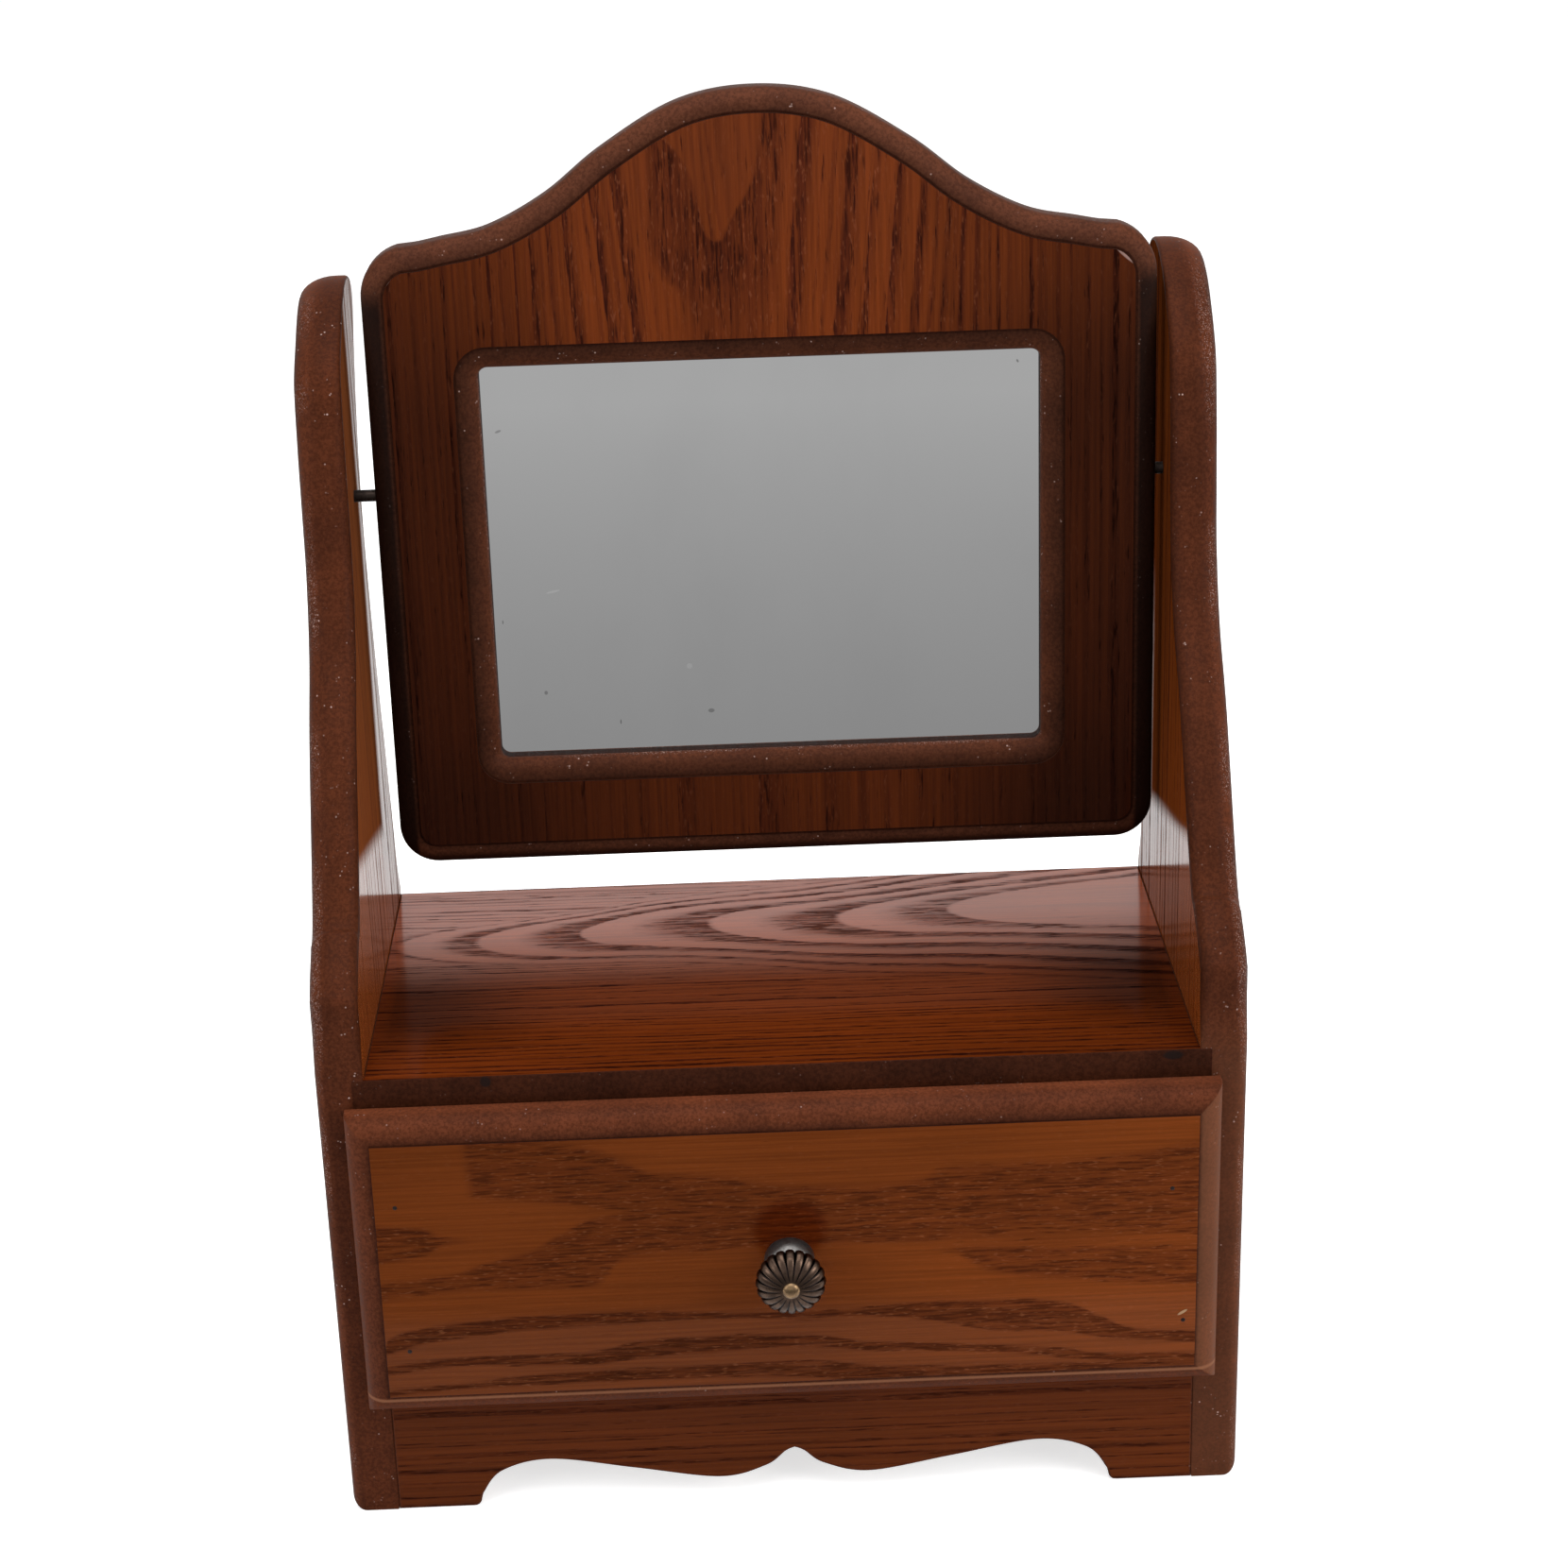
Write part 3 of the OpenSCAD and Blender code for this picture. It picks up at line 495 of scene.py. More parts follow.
def ragged_group():
    """Ragged run of the grain: across the grain is X, along it Y, both in metres. Slow waves and fine fibres
    push the place sideways, so that a line drawn on it comes out torn along the fibres."""
    s, (place, waves, fibres, seed) = open_group("ragged_grain", Place=None, Waves=1 * MM, Fibres=0.6 * MM, Seed=0.0)
    x, y, _ = s.parts(place)
    base = s.out("ShaderNodeVectorMath", {0: s.join(x, y, 0.0), 1: s.join(seed, seed, seed)}, operation="ADD")
    slow = (s.grain(base, 60.0, 14.0, 2.0) - 0.5) * waves
    fine = (s.grain(base, 1500.0, 60.0, 2.0, 0.6) - 0.5) * fibres
    return close_group(s, Across=x + (slow + fine), Place=base)


def pored_group():
    """Open-pored wood. Pores are dashes along the grain: noise drawn out along it and kept above a level that
    falls inside a band. The pores' bright rims are painted highlights, fibres are finer and longer, and the
    tone varies slowly over the board."""
    s, (base, band) = open_group("pored_wood", Place=None, Band=0.0)
    level = s.span(band, 0.0, 1.0, 0.69, 0.43, smooth=False)
    pores = s.math("MULTIPLY", s.grain(base, 1500.0, 120.0, 2.0, 0.6) - level, 6.5, clamp=True)
    dark = band * s.span(s.grain(base, 800.0, 24.0, 3.0, 0.6), 0.36, 0.6, 0.5, 1.0)
    pore_glint = s.math("MULTIPLY", s.grain(base, 1700.0, 420.0, 1.0) - 0.6, 6.0, clamp=True)
    fibre = s.grain(base, 1300.0, 22.0, 4.0, 0.65)
    return close_group(s, Dark=dark, Pores=pores, Fleck=pore_glint * s.span(band, 0.0, 1.0, 0.25, 1.0), Fibre=fibre,
                       Tone=s.grain(base, 24.0, 7.0, 2.0), Height=fibre * 0.3 - pores)


def speckle_group():
    """Stained fibreboard: cloudy patches, fine fuzz and sparse pale specks."""
    s, (place, specks) = open_group("board_speckle", Place=None, Specks=0.3)
    fuzz = s.noise(place, 1100.0, 2.0, 0.7)
    chosen = s.span(s.noise(place, 420.0, 1.0), 0.6, 0.68)
    speck = s.dots(place, 900.0, 0.1, 0.3) * chosen * s.span(s.noise(place, 70.0), 0.4, 0.65)
    return close_group(s, Cloud=s.noise(place, 60.0, 3.0), Fuzz=fuzz, Speck=speck * specks,
                       Height=fuzz * 0.6 + speck * 0.5)


# Spots and scratches of the glass, in millimetres: across and up from the middle of the frame, half length,
# half width, turn in degrees, grey
GLASS_MARKS = [
    (-70.6, 16.0, 0.9, 0.35, 20.0, 0.3), (-58.4, -28.6, 1.9, 0.3, 12.0, 1.0), (-61.8, -57.2, 0.5, 0.6, 0.0, 0.25),
    (-41.8, -66.3, 0.2, 0.7, 0.0, 0.1), (-16.9, -64.0, 0.9, 0.6, 0.0, 0.25), (-22.4, -51.0, 0.8, 0.8, 0.0, 0.95),
    (-72.4, -36.7, 0.2, 0.6, 0.0, 0.2), (67.5, 30.2, 0.3, 0.5, 30.0, 0.15)]


def finish(build):
    """Makes a material once under its name. Build is given its shader and the place on the object, and says
    what the inputs of its Principled node are fed with."""
    @functools.wraps(build)
    def get(self, name, *values, **settings):
        if name not in self.made:
            material = bpy.data.materials.new(name)
            material.use_nodes = True
            s = Shader(material.node_tree)
            place = s.out("ShaderNodeTexCoord", {}, "Object")
            principled = next(n for n in material.node_tree.nodes if n.type == "BSDF_PRINCIPLED")
            s.fill(principled, build(self, s, place, *values, **settings))
            self.made[name] = material
        return self.made[name]
    return get


class Finishes:
    """Materials of the object, each made once from the colours and the shared groups."""

    def __init__(self, colours):
        self.colours = colours
        self.ragged, self.pored, self.speckle = ragged_group(), pored_group(), speckle_group()
        self.made = {}

    @finish
    def veneer(self, s, place, order, bands, seed, waves=2 * MM, fibres=1.2 * MM, shade=None, coat=0.05,
               polish=0.12, light=(1.0, 1.0, 1.0), bump=0.2, depth=0.75, pore_glint=0.3, marks=None):
        """Lacquered veneer. Order picks the axes across and along the grain. Bands and shade build the mask of
        the dark bands and the tint, from the shader, the ragged place across the grain and the place along it.
        Coat is the lacquer's weight, a number or such a mask. Depth is the strength of the bands, and marks
        adds small repairs, painted highlights and painted shadows to the colour."""
        c, axes = self.colours, s.parts(place)
        across, along = axes[order[0]], axes[order[1]]
        ragged = s.group(self.ragged, {"Place": s.join(across, along, 0.0), "Waves": waves, "Fibres": fibres,
                                       "Seed": seed})
        out = s.group(self.pored, {"Place": ragged["Place"], "Band": bands(s, ragged["Across"], along)})
        wood = s.mix(out["Dark"] * depth, c.late_wood, c.early_wood)
        wood = s.mix(out["Pores"] * (0.85 * depth), wood, c.pore)
        # painted highlights on the pores' rims
        wood = s.mix(out["Fleck"] * pore_glint, wood, c.pore_glint)
        tint = s.span(out["Fibre"], 0.3, 0.7, 0.84, 1.16) * s.span(out["Tone"], 0.3, 0.7, 0.9, 1.1)
        if shade:
            tint = tint * shade(s, across, along)
        body = s.tinted(wood, tint, light)
        closed = s.span(s.most(out["Pores"], out["Dark"] * 0.8), 0.0, 1.0, 1.0, 0.1)
        return {"Base Color": marks(s, axes, body, c) if marks else body,
                "Roughness": s.span(out["Pores"], 0.0, 1.0, 0.5, 0.7),
                "Normal": s.bump(out["Height"], bump, 0.3 * MM),
                "Coat Weight": closed * (coat(s, across, along) if callable(coat) else coat),
                "Coat IOR": 1.7, "Coat Roughness": polish, "Specular IOR Level": 0.0}

    @finish
    def routed(self, s, place, light=1.0, specks=0.5, profile=(1.0, 1.0), marks=None, sparkle=None):
        """Smooth stained edge of the fibreboard, with a satin gloss and pale specks. Profile is the painted light
        and shade across the rim from its start to its end, marks adds small repairs, painted light and painted
        shade to the colour, and sparkle is the part of the rim where painted glints stand for raised fibres catching
        the light."""
        c, top = self.colours, 1.5
        out = s.group(self.speckle, {"Place": place, "Specks": specks})
        body = s.mix(s.span(out["Cloud"], 0.3, 0.75, 0.1, 0.75), c.edge, c.edge_dark)
        rim = s.rim()
        points = list(zip(np.linspace(0, 1, len(profile)), np.array(profile) / top))
        # painted light and shade across the rounded edge, from the rim's start to its end
        stain = s.line(s.math("MULTIPLY", rim, 1.0, clamp=True), points) * top
        body = s.tinted(body, s.span(out["Fuzz"], 0.3, 0.7, 0.74, 1.26) * stain, np.ones(3) * light)
        body = s.mix(out["Speck"], body, c.dust_and_glint)
        # painted glints along a belt of the rim, in the pale dust colour
        if sparkle:
            belt = s.span(rim, sparkle[0] - 0.06, sparkle[0] + 0.04) * s.span(rim, sparkle[1] - 0.08,
                                                                              sparkle[1] + 0.08, 1.0, 0.0)
            grains = s.span(s.noise(place, 2400.0, 1.0, 0.8), 0.54, 0.72)
            patch = s.span(s.noise(place, 45.0), 0.4, 0.62)
            body = s.mix(belt * grains * (patch * 0.5), body, c.dust_and_glint)
        return {"Base Color": marks(s, s.parts(place), body, c) if marks else body,
                "Roughness": s.span(out["Fuzz"], 0.3, 0.7, 0.4, 0.6),
                "Normal": s.bump(out["Height"], 0.3, 0.2 * MM), "Specular IOR Level": 0.03}

    @finish
    def plain(self, s, place):
        """Thinly stained, matt fibreboard."""
        raw = self.colours.raw_board
        out = s.group(self.speckle, {"Place": place, "Specks": 0.2})
        body = s.mix(s.span(out["Cloud"], 0.3, 0.7), raw, [v * 0.88 for v in raw])
        return {"Base Color": s.tinted(body, s.span(out["Fuzz"], 0.3, 0.7, 0.85, 1.12)),
                "Roughness": s.span(out["Fuzz"], 0.3, 0.7, 0.7, 0.9),
                "Normal": s.bump(out["Height"], 0.4, 0.2 * MM), "Specular IOR Level": 0.1}

    @finish
    def metal(self, s, place, main, dark, rough, scale=400.0, flutes=False):
        """Patinated metal: cloudy mix of its main colour and its dark one, which also fills the flutes."""
        cloud = s.noise(place, scale, 3.0, 0.6)
        share = s.span(cloud, 0.35, 0.75, 0.0, 0.7)
        if flutes:
            share = s.most(share, s.span(s.rim(), 0.12, 0.6))
        return {"Base Color": s.mix(share, main, dark),
                "Roughness": s.span(cloud, 0.3, 0.7, rough - 0.08, rough + 0.12),
                "Normal": s.bump(cloud, 0.15, 0.1 * MM), "Metallic": 1.0}

    @finish
    def glass(self, s, place):
        """Silvered glass with a few dark specks and faint smears."""
        silver = self.colours.silver
        smear = s.noise(s.stretch(place, (1.0, 1.0, 0.6)), 26.0, 4.0, 0.6)
        speck = s.dots(place, 75.0, 0.03, 0.07) * s.span(s.noise(place, 45.0, 0.0), 0.64, 0.66)
        base = s.mix(s.span(smear, 0.4, 0.85), silver, [v * 0.96 for v in silver])
        x, _, z = s.parts(place)
        for across, up, wide, tall, turn, grey in GLASS_MARKS:
            mark = spot(s, x - (FrameShape.shift + across * MM), z - (AXIS_UP + up * MM), wide, tall, turn)
            base = s.mix(mark * 0.6, base, (grey,) * 3)
        return {"Base Color": s.mix(speck * 0.5, base, (0.2, 0.2, 0.2)), "Roughness": speck * 0.4,
                "Metallic": 1.0}


@functools.lru_cache(maxsize=1)
def finishes():
    """The materials, made at the first call."""
    return Finishes(bpy.context.scene.mirror_colours)


# Figures of the veneers: each gives the mask of the dark bands


def banded(s, value, low, high, bands):
    """Mask of the bands (start, end, strength) of a value from low to high, all in millimetres. Each band rises
    sharply at its start and thins out towards its end."""
    masks = []
    for first in range(0, len(bands), 7):
        node = s.add("ShaderNodeValToRGB", {0: s.span(value, low * MM, high * MM, smooth=False)})
        elements = node.color_ramp.elements
        elements[1].position = 1.0
        elements[0].color = elements[1].color = (0.0, 0.0, 0.0, 1.0)
        for start, end, strength in bands[first:first + 7]:
            wide = end - start
            for at, grey in ((start - 0.2, 0.0), (start + 0.1, strength), (start + wide * 0.6, strength * 0.9),
                             (end + wide * 0.25, 0.0)):
                elements.new((at - low) / (high - low)).color = (grey, grey, grey, 1.0)
        masks.append(Wire(s, node.outputs[0]))
    return s.most(*masks)


def spot(s, x, y, wide, tall, turn=0.0):
    """Mask of a small soft-edged oval round the place where x and y are 0, with its two reaches in millimetres
    and its turn in degrees."""
    cos, sin = math.cos(math.radians(turn)), math.sin(math.radians(turn))
    p = x * (cos / (wide * MM)) + y * (sin / (wide * MM))
    q = y * (cos / (tall * MM)) - x * (sin / (tall * MM))
    return s.span(p * p + q * q, 0.5, 1.3, 1.0, 0.0)


def curve(s, value, *knots):
    """Smooth curve through knots (value, result), both in millimetres."""
    k = np.array(knots) * MM
    low, high = k[0, 0], k[-1, 0]
    floor, top = k[:, 1].min() - 1 * MM, k[:, 1].max() + 1 * MM
    points = np.column_stack([(k[:, 0] - low) / (high - low), (k[:, 1] - floor) / (top - floor)])
    return s.span(s.line(s.span(value, low, high, smooth=False), points), 0.0, 1.0, floor, top, smooth=False)


def between(s, value, low, high, soft, soft_low=None):
    """Mask that is 1 from low to high, either of which may be a wire, with soft edges in millimetres."""
    def edge(room, wide):
        return s.math("ADD", room * (1.0 / (wide * MM)), 0.5, clamp=True)

    return edge(value - low, soft_low or soft) * edge(high - value, soft)


def lines_between(s, value, pitch, width, wander):
    """Fine dark lines, a pitch in millimetres apart and of a width given as a share of it, each with its own
    strength."""
    steps = s.math("DIVIDE", value, pitch * MM)
    drift = s.out("ShaderNodeTexNoise", {"W": steps, "Scale": 0.45, "Detail": 2.0}, noise_dimensions="1D")
    moved = drift * (wander * 4.0) + steps
    strength = s.out("ShaderNodeTexWhiteNoise", {"W": s.math("FLOOR", moved)}, noise_dimensions="1D")
    share = s.math("FRACT", moved)
    body = s.span(share, 0.0, 0.08) * s.span(share, width * 0.5, width, 1.0, 0.0)
    return body * s.span(strength, 0.0, 1.0, 0.45, 1.0)


def frame_bands(s, across, along):
    """Frame: stripes that lean out at the top, a bright wedge that hangs in a dark tongue over the window, and
    another pale patch under the window."""
    x, up = across - FrameShape.shift, along - AXIS_UP
    size = abs(x)
    side = s.span(x, -12 * MM, 12 * MM, -1.0, 1.0, smooth=False)
    lean = side * s.ramp(size, 44, 62, 0.095, 0.0) * s.most(up - 42 * MM, 0.0)
    straight = x - lean
    crest = banded(s, straight, -62, 62, (
        (-59.4, -57.0, 0.8), (-54.0, -52.0, 0.7), (-48.6, -45.8, 0.9), (-40.0, -37.2, 1.0), (-33.6, -30.4, 1.0),
        (6.6, 10.3, 0.95), (18.9, 22.7, 1.0), (25.9, 28.2, 0.85), (32.2, 34.8, 1.0), (38.7, 41.0, 0.95),
        (43.4, 44.6, 0.7), (46.2, 48.2, 0.9), (50.9, 52.8, 0.95), (55.2, 57.0, 0.9)))
    outer = lines_between(s, straight, 3.8, 0.5, 0.4) * s.ramp(size, 56, 62)
    left = curve(s, up, (42, -18), (50, -19.5), (58, -25), (66, -28), (78, -27.8), (105, -28.4))
    right = curve(s, up, (42, 2.4), (47, 2.8), (61, 4.6), (72, 5.6), (82, 6.6), (105, 8.2))
    wedge_left = curve(s, up, (65, -10.2), (67, -13), (72.3, -14.7), (77.6, -15.5), (84, -17.6), (88.6, -20.2),
                       (92.5, -23.8), (105, -36))
    wedge_right = curve(s, up, (65, -10.2), (70, -7.8), (74.6, -5.3), (81.2, -1.5), (89.3, 0.5), (98.6, 1.5),
                        (105, 2.0))
    wedge = between(s, x, wedge_left, wedge_right, 1.1) * s.ramp(up, 65, 67)
    tongue = between(s, x, left, right, 3) * s.ramp(up, 40, 60, 0.45, 0.74)
    above = s.most(crest, tongue * (1.0 - wedge))
    rail = banded(s, straight, -62, 62, (
        (-53.4, -52.6, 0.6), (-45.4, -44.6, 0.7), (-37.4, -36.2, 0.8), (-30.6, -29.8, 0.5), (-27.0, -20.3, 0.85),
        (-4.9, 3.1, 1.0), (13.2, 17.2, 0.95), (23.3, 25.3, 0.9), (29.6, 31.6, 1.0), (38.8, 40.8, 0.9),
        (46.0, 47.2, 0.7), (52.0, 53.0, 0.7)))
    upper = s.ramp(up, -5, 5)
    inner = above * upper + rail * (1.0 - upper)
    fine = lines_between(s, straight + 0.3, 2.3, 0.6, 0.5) * 0.45
    return s.most(s.most(inner, outer) * s.ramp(up, -60, 20, 0.72, 1.0), fine)


def drawer_bands(s, across, along):
    """Drawer: a dark tongue of pores round a pale one at the left, and three wavy bands low down."""
    up = across - (FRONT_LOW[2] + FRONT_HIGH[2]) / 2
    line = functools.partial(curve, s, along)

    def band(*knots):
        """Band between two lines, lower one first."""
        return between(s, up, line(*knots[0]), line(*knots[1]), 0.9)

    top = line((-107, 39), (-82, 39), (-60, 37), (-42, 31), (-34, 26.5), (-18, 25), (0, 22), (25, 20.5), (45, 25),
               (78, 26), (107, 30))
    bottom = line((-107, -8.1), (-80, -5.7), (-64, -5.6), (-52, -5.5), (-42, 2.2), (0, 3.5), (20, 3.9), (40, 1),
                  (55, -7), (78, -10.2), (107, -12.5))
    pale_top = line((-107, 24), (-85, 23), (-80, 21.5), (-64, 19.4), (-44, 16.1), (-40, 15.4), (107, 15))
    pale_low = line((-107, -2.4), (-92, -1.3), (-78.6, 2.3), (-68, 5.1), (-59, 10.1), (-44, 15.2), (-40, 15.4),
                    (107, 15))
    pale = between(s, up, pale_low, pale_top, 2, 1.4) * s.ramp(along, -42, -39, 1.0, 0.0)
    corner = s.ramp(up, 12, 14) * s.ramp(up * 0.08 + along, -82, -78, 1.0, 0.0)
    dash_low = line((-107, 3), (-95, 5), (-81, 9.2), (107, 9.5))
    dash_top = line((-107, 14.5), (-95, 13), (-81, 9.5), (107, 9.5))
    dash = between(s, up, dash_low, dash_top, 1.6) * s.ramp(along, -86, -80, 0.9, 0.0)
    streak = between(s, up, line((-107, 0), (28, 1), (60, 0.5), (107, -1)),
                     line((-107, 0), (28, 3.2), (60, 4.4), (107, 1.0)), 1.5) * s.ramp(along, 20, 40, 0.0, 0.6)
    upper = between(s, up, bottom, top, 2.5) * (1.0 - s.most(pale, corner, streak))
    first = band(((-107, -24.5), (-75, -19), (-50, -18), (-20, -17), (0, -18.5), (20, -18.4), (36, -20), (54, -24),
                  (70, -25), (85, -28), (107, -30)),
                 ((-107, -22.8), (-75, -14.5), (-53, -14), (-37, -14), (0, -16), (36, -14.8), (54, -14.8),
                  (67, -15.6), (81, -20.6), (93, -25.2), (107, -26.3)))
    second = band(((-107, -30.5), (-80, -28.8), (-56, -29.5), (-41, -28.3), (-20, -27), (0, -26.8), (23, -29.1),
                   (53, -31), (84, -35), (107, -36.4)),
                  ((-107, -27.9), (-80, -25.7), (-56, -26), (-41, -23.3), (-26, -22.3), (0, -22.8), (23, -26.1),
                   (53, -28.5), (69, -29.8), (84, -32.4), (107, -33.4)))
    third = band(((-107, -37), (-64, -35), (-26, -35), (0, -36), (20, -38), (107, -42)),
                 ((-107, -34.8), (-87, -33.6), (-64, -31.7), (-26, -31), (0, -30.7), (20, -33), (45, -34.5),
                  (107, -36)))
    return s.most(upper * 0.8, first, second, third, dash)


def shelf_bands(s, across, along):
    """Shelf: rings round long tongues whose tips point to the left, and close fine lines in front of them."""
    back = across - CASE_FRONT
    spine = curve(s, along, (-108, 83), (-88, 83.7), (-58, 86.6), (-22, 91), (15, 91), (57, 95), (108, 98))
    depth = curve(s, back - spine, (-100, 92), (-60, 55), (-28, 25.4), (-22, 18.8), (-16, 11.8), (-12, 8.4),
                  (-7, 5.9), (0, 5), (4, 5.8), (8, 8), (12, 13), (17, 21), (40, 49))
    field = depth - along * 0.22
    rings = banded(s, field, -25, 45, (
        (-6.0, -2.0, 0.85), (1.0, 5.4, 1.0), (9.0, 13.4, 1.0), (17.0, 20.4, 1.0), (23.4, 25.8, 0.95),
        (28.3, 30.1, 0.9), (32.2, 33.8, 0.85), (35.6, 37.0, 0.8), (38.9, 40.3, 0.75)))
    lines = lines_between(s, along * 0.012 + back, 2.1, 0.6, 0.5)
    front = s.ramp(field, 26, 34)
    return s.most(rings * (1.0 - front), lines * front)


def side_bands(s, across, along):
    """Side panels: close straight lines up the arm."""
    return lines_between(s, across, 4.2, 0.55, 0.8)


def apron_bands(s, across, along):
    """Apron: close lines along it."""
    return lines_between(s, across, 2.4, 0.55, 0.8) * 0.9


# Side panels


def side_outline(head):
    """Outline of a side panel, [back, up] from its lower front corner, for an arm that rises to head above
    the turning axis: straight edges up to the shelf, then one smooth curve through the arm's knots."""
    turn = np.array([AXIS_BACK - CASE_FRONT, AXIS_UP])
    front, behind = 17.7 * MM, 18.8 * MM
    knee, rise, knee_back = SHELF_TOP + 19.6 * MM, 20.5 * MM, 21 * MM
    back = np.array([[0, ROUND_START - SHELF_TOP], [-4 * MM, 26 * MM], [-8.5 * MM, 52 * MM], [-13 * MM, 75 * MM]])
    back = back + [CASE_DEPTH, SHELF_TOP]
    rear = turn + np.array([[0.7, -34.6], [-0.8, -16.6], [0, -1.6], [4.2, 17], [10, 35]]) * MM + [behind, 0]
    top = turn + [[behind + 14.5 * MM, head - 9 * MM], [behind + 11.5 * MM, head - 2.5 * MM], [21 * MM, head],
                  [11 * MM, head - 2.4 * MM], [1 * MM, head - 9 * MM]]
    waist = turn - [front + 2.3 * MM, 16.6 * MM]
    fore = np.array([turn + [7 * MM - front, 35 * MM], turn + [2.6 * MM - front, 18 * MM],
                     turn + [-front, -1.6 * MM], waist, waist - [7.5 * MM, 18 * MM],
                     (waist + [knee_back, knee + rise]) / 2])
    shares = np.array([[1, 1], [0.69, 0.73], [0.38, 0.49], [0.14, 0.24], [0.03, 0]])
    bend = shares * [knee_back, rise] + [0, knee]
    arm = spline(np.vstack([back, rear, top, fore, bend, [[0, ROUND_START]]]), 10)
    bottom = np.vstack([[[0, 0]], run([0, 0], [CASE_DEPTH, 0], 5), [[CASE_DEPTH, 0]]])
    gap = 0.02 * MM
    rear_edge = [[CASE_DEPTH, z] for z in (FLOOR_UNDER, FLOOR_UNDER + gap, SHELF_LOW[2] - gap, SHELF_LOW[2])]
    return np.vstack([bottom, rear_edge, arm])


# Painted light and shade across the arms' rounded edges: dark at both rims, bright in the middle.
ARM_RIM_PAINTED_LIGHT = (0.45, 0.75, 1.2, 1.22, 0.98, 0.9, 0.96, 0.86, 0.4)


def arm_painted_light(s, axes, body, c):
    """Painted light on the right side panel's edge, low down by the shelf."""
    low = s.ramp(axes[2] - SHELF_TOP, -8, 14, 0.13, 0.0)
    # painted light on the right panel's edge near the shelf
    return s.mix(low * s.ramp(axes[0], 0, 10), body, c.edge_highlight)


def left_marks(s, axes, body, c):
    """Paler colour up the left arm's inner face."""
    return s.mix(s.ramp(axes[2] - SHELF_TOP, 10, 50, 0.0, 0.32), body, c.pore_glint)


def low_polish(s, back, up):
    """Clear lacquer low down on an arm's inner face."""
    return s.ramp(back * 0.24 + up, 51, 58, 1.0, 0.0)


def left_polish(s, across, along):
    """Lacquer of the left arm's inner face: clear low down and along the rear edge, rubbed away in front."""
    back, up = across - CASE_FRONT, along - SHELF_TOP
    start = s.span(up, 45 * MM, 118 * MM, 84.5 * MM, 90 * MM, smooth=False)
    return s.most(s.ramp(back - start, 0, 7), low_polish(s, back, up)) * 0.5


def right_polish(s, across, along):
    """Lacquer of the right arm's inner face: clear low down, and thin along the rear edge."""
    back, up = across - CASE_FRONT, along - SHELF_TOP
    strip = s.ramp(back, 93, 98) * s.ramp(up, 70, 105, 0.5, 0.0)
    return s.most(strip, low_polish(s, back, up)) * 0.5


def side_shade(s, across, along):
    """Tint of the side panels: brighter at the shelf, darker up the arm."""
    return s.ramp(along - SHELF_TOP, 0, 110, 1.2, 0.66)


def side_panel(name, node, head, mirrored, polish, marks):
    """Side panel: the outline is carried from the outer face to the inner one. Its inset follows a quarter
    circle at the outer rim, and at the inner rim one that fades in above the shelf. Behind, the rings past
    the rebate's depth step forward over the back panel's height."""
    p, turns, flat = sizes(), 10, 0.4 * MM
    outline = side_outline(head)
    back, up = outline.T
    fade = np.clip((up - ROUND_START) / (ROUND_END - ROUND_START), 0, 1)
    tip = np.clip((up - AXIS_UP - 15 * MM) / (head - 20 * MM), 0, 1)
    outer = p.outer_round + (p.arm_round - p.outer_round) * fade
    inner = np.maximum(p.inner_round * fade * (1 - 0.72 * tip), flat)
    deep = outer + (p.tip_round - p.arm_round) * tip
    split = np.maximum(SIDE_T - REBATE_W, deep)
    rings = [(outer + flat, 0.0)] + rounding(outer, deep, turns) + [(0.0, split)] * 2
    rings += [(inset, SIDE_T - height) for inset, height in reversed(rounding(inner, inner, turns))]
    rings += [(inner + flat, SIDE_T)]
    loops = plate_loops(outline, rings)
    notch = (up > FLOOR_UNDER + 0.01 * MM) & (up < SHELF_LOW[2] - 0.01 * MM) & (back > CASE_DEPTH - 1 * MM)
    loops[turns + 2:, notch, 0] = CASE_DEPTH - BACK_T
    rim = rim_share(rings, 1, len(rings) - 2, len(outline))
    points, faces, kinds = stack(loops, [0] + [1] * (len(rings) - 3) + [2], 0, 2)
    placed = np.stack([points[:, 2] - SIDE_T - CLEAR_X, points[:, 0] + CASE_FRONT, points[:, 1]], 1)
    if mirrored:
        placed[:, 0] *= -1
    make = finishes()
    face = make.veneer("side_veneer", (1, 2), side_bands, 3.1, shade=side_shade, light=(0.84, 0.76, 0.74))
    inner_face = make.veneer(name.split("_")[0] + "_inner_veneer", (1, 2), side_bands, 6.4, coat=polish,
                             shade=side_shade, marks=marks)
    edge = make.routed("arm_edge", (0.83, 0.81, 0.78), 0.9, ARM_RIM_PAINTED_LIGHT, arm_painted_light, (0.12, 0.42))
    add_piece(name, placed, faces, kinds, [face, edge, inner_face], "case", node, rim=rim)


class DRESSING_OT_side_panels(bpy.types.Operator):
    """Builds the two side panels with their curved arms"""

    bl_idname = "dressing.side_panels"
    bl_label = "Side panels"

    def execute(self, context):
        side_panel("left_side", "left_side_panel", sizes().left_head, False, left_polish, left_marks)
        side_panel("right_side", "right_side_panel", sizes().right_head, True, right_polish, None)
        return {"FINISHED"}


# Shelf, floor, back and apron


def shelf_polish(s, across, along):
    """Lacquer of the shelf: thick and clear at the back, rubbed thin towards the front."""
    return s.ramp(across - CASE_FRONT, 47, 100, 0.05, 1.0)


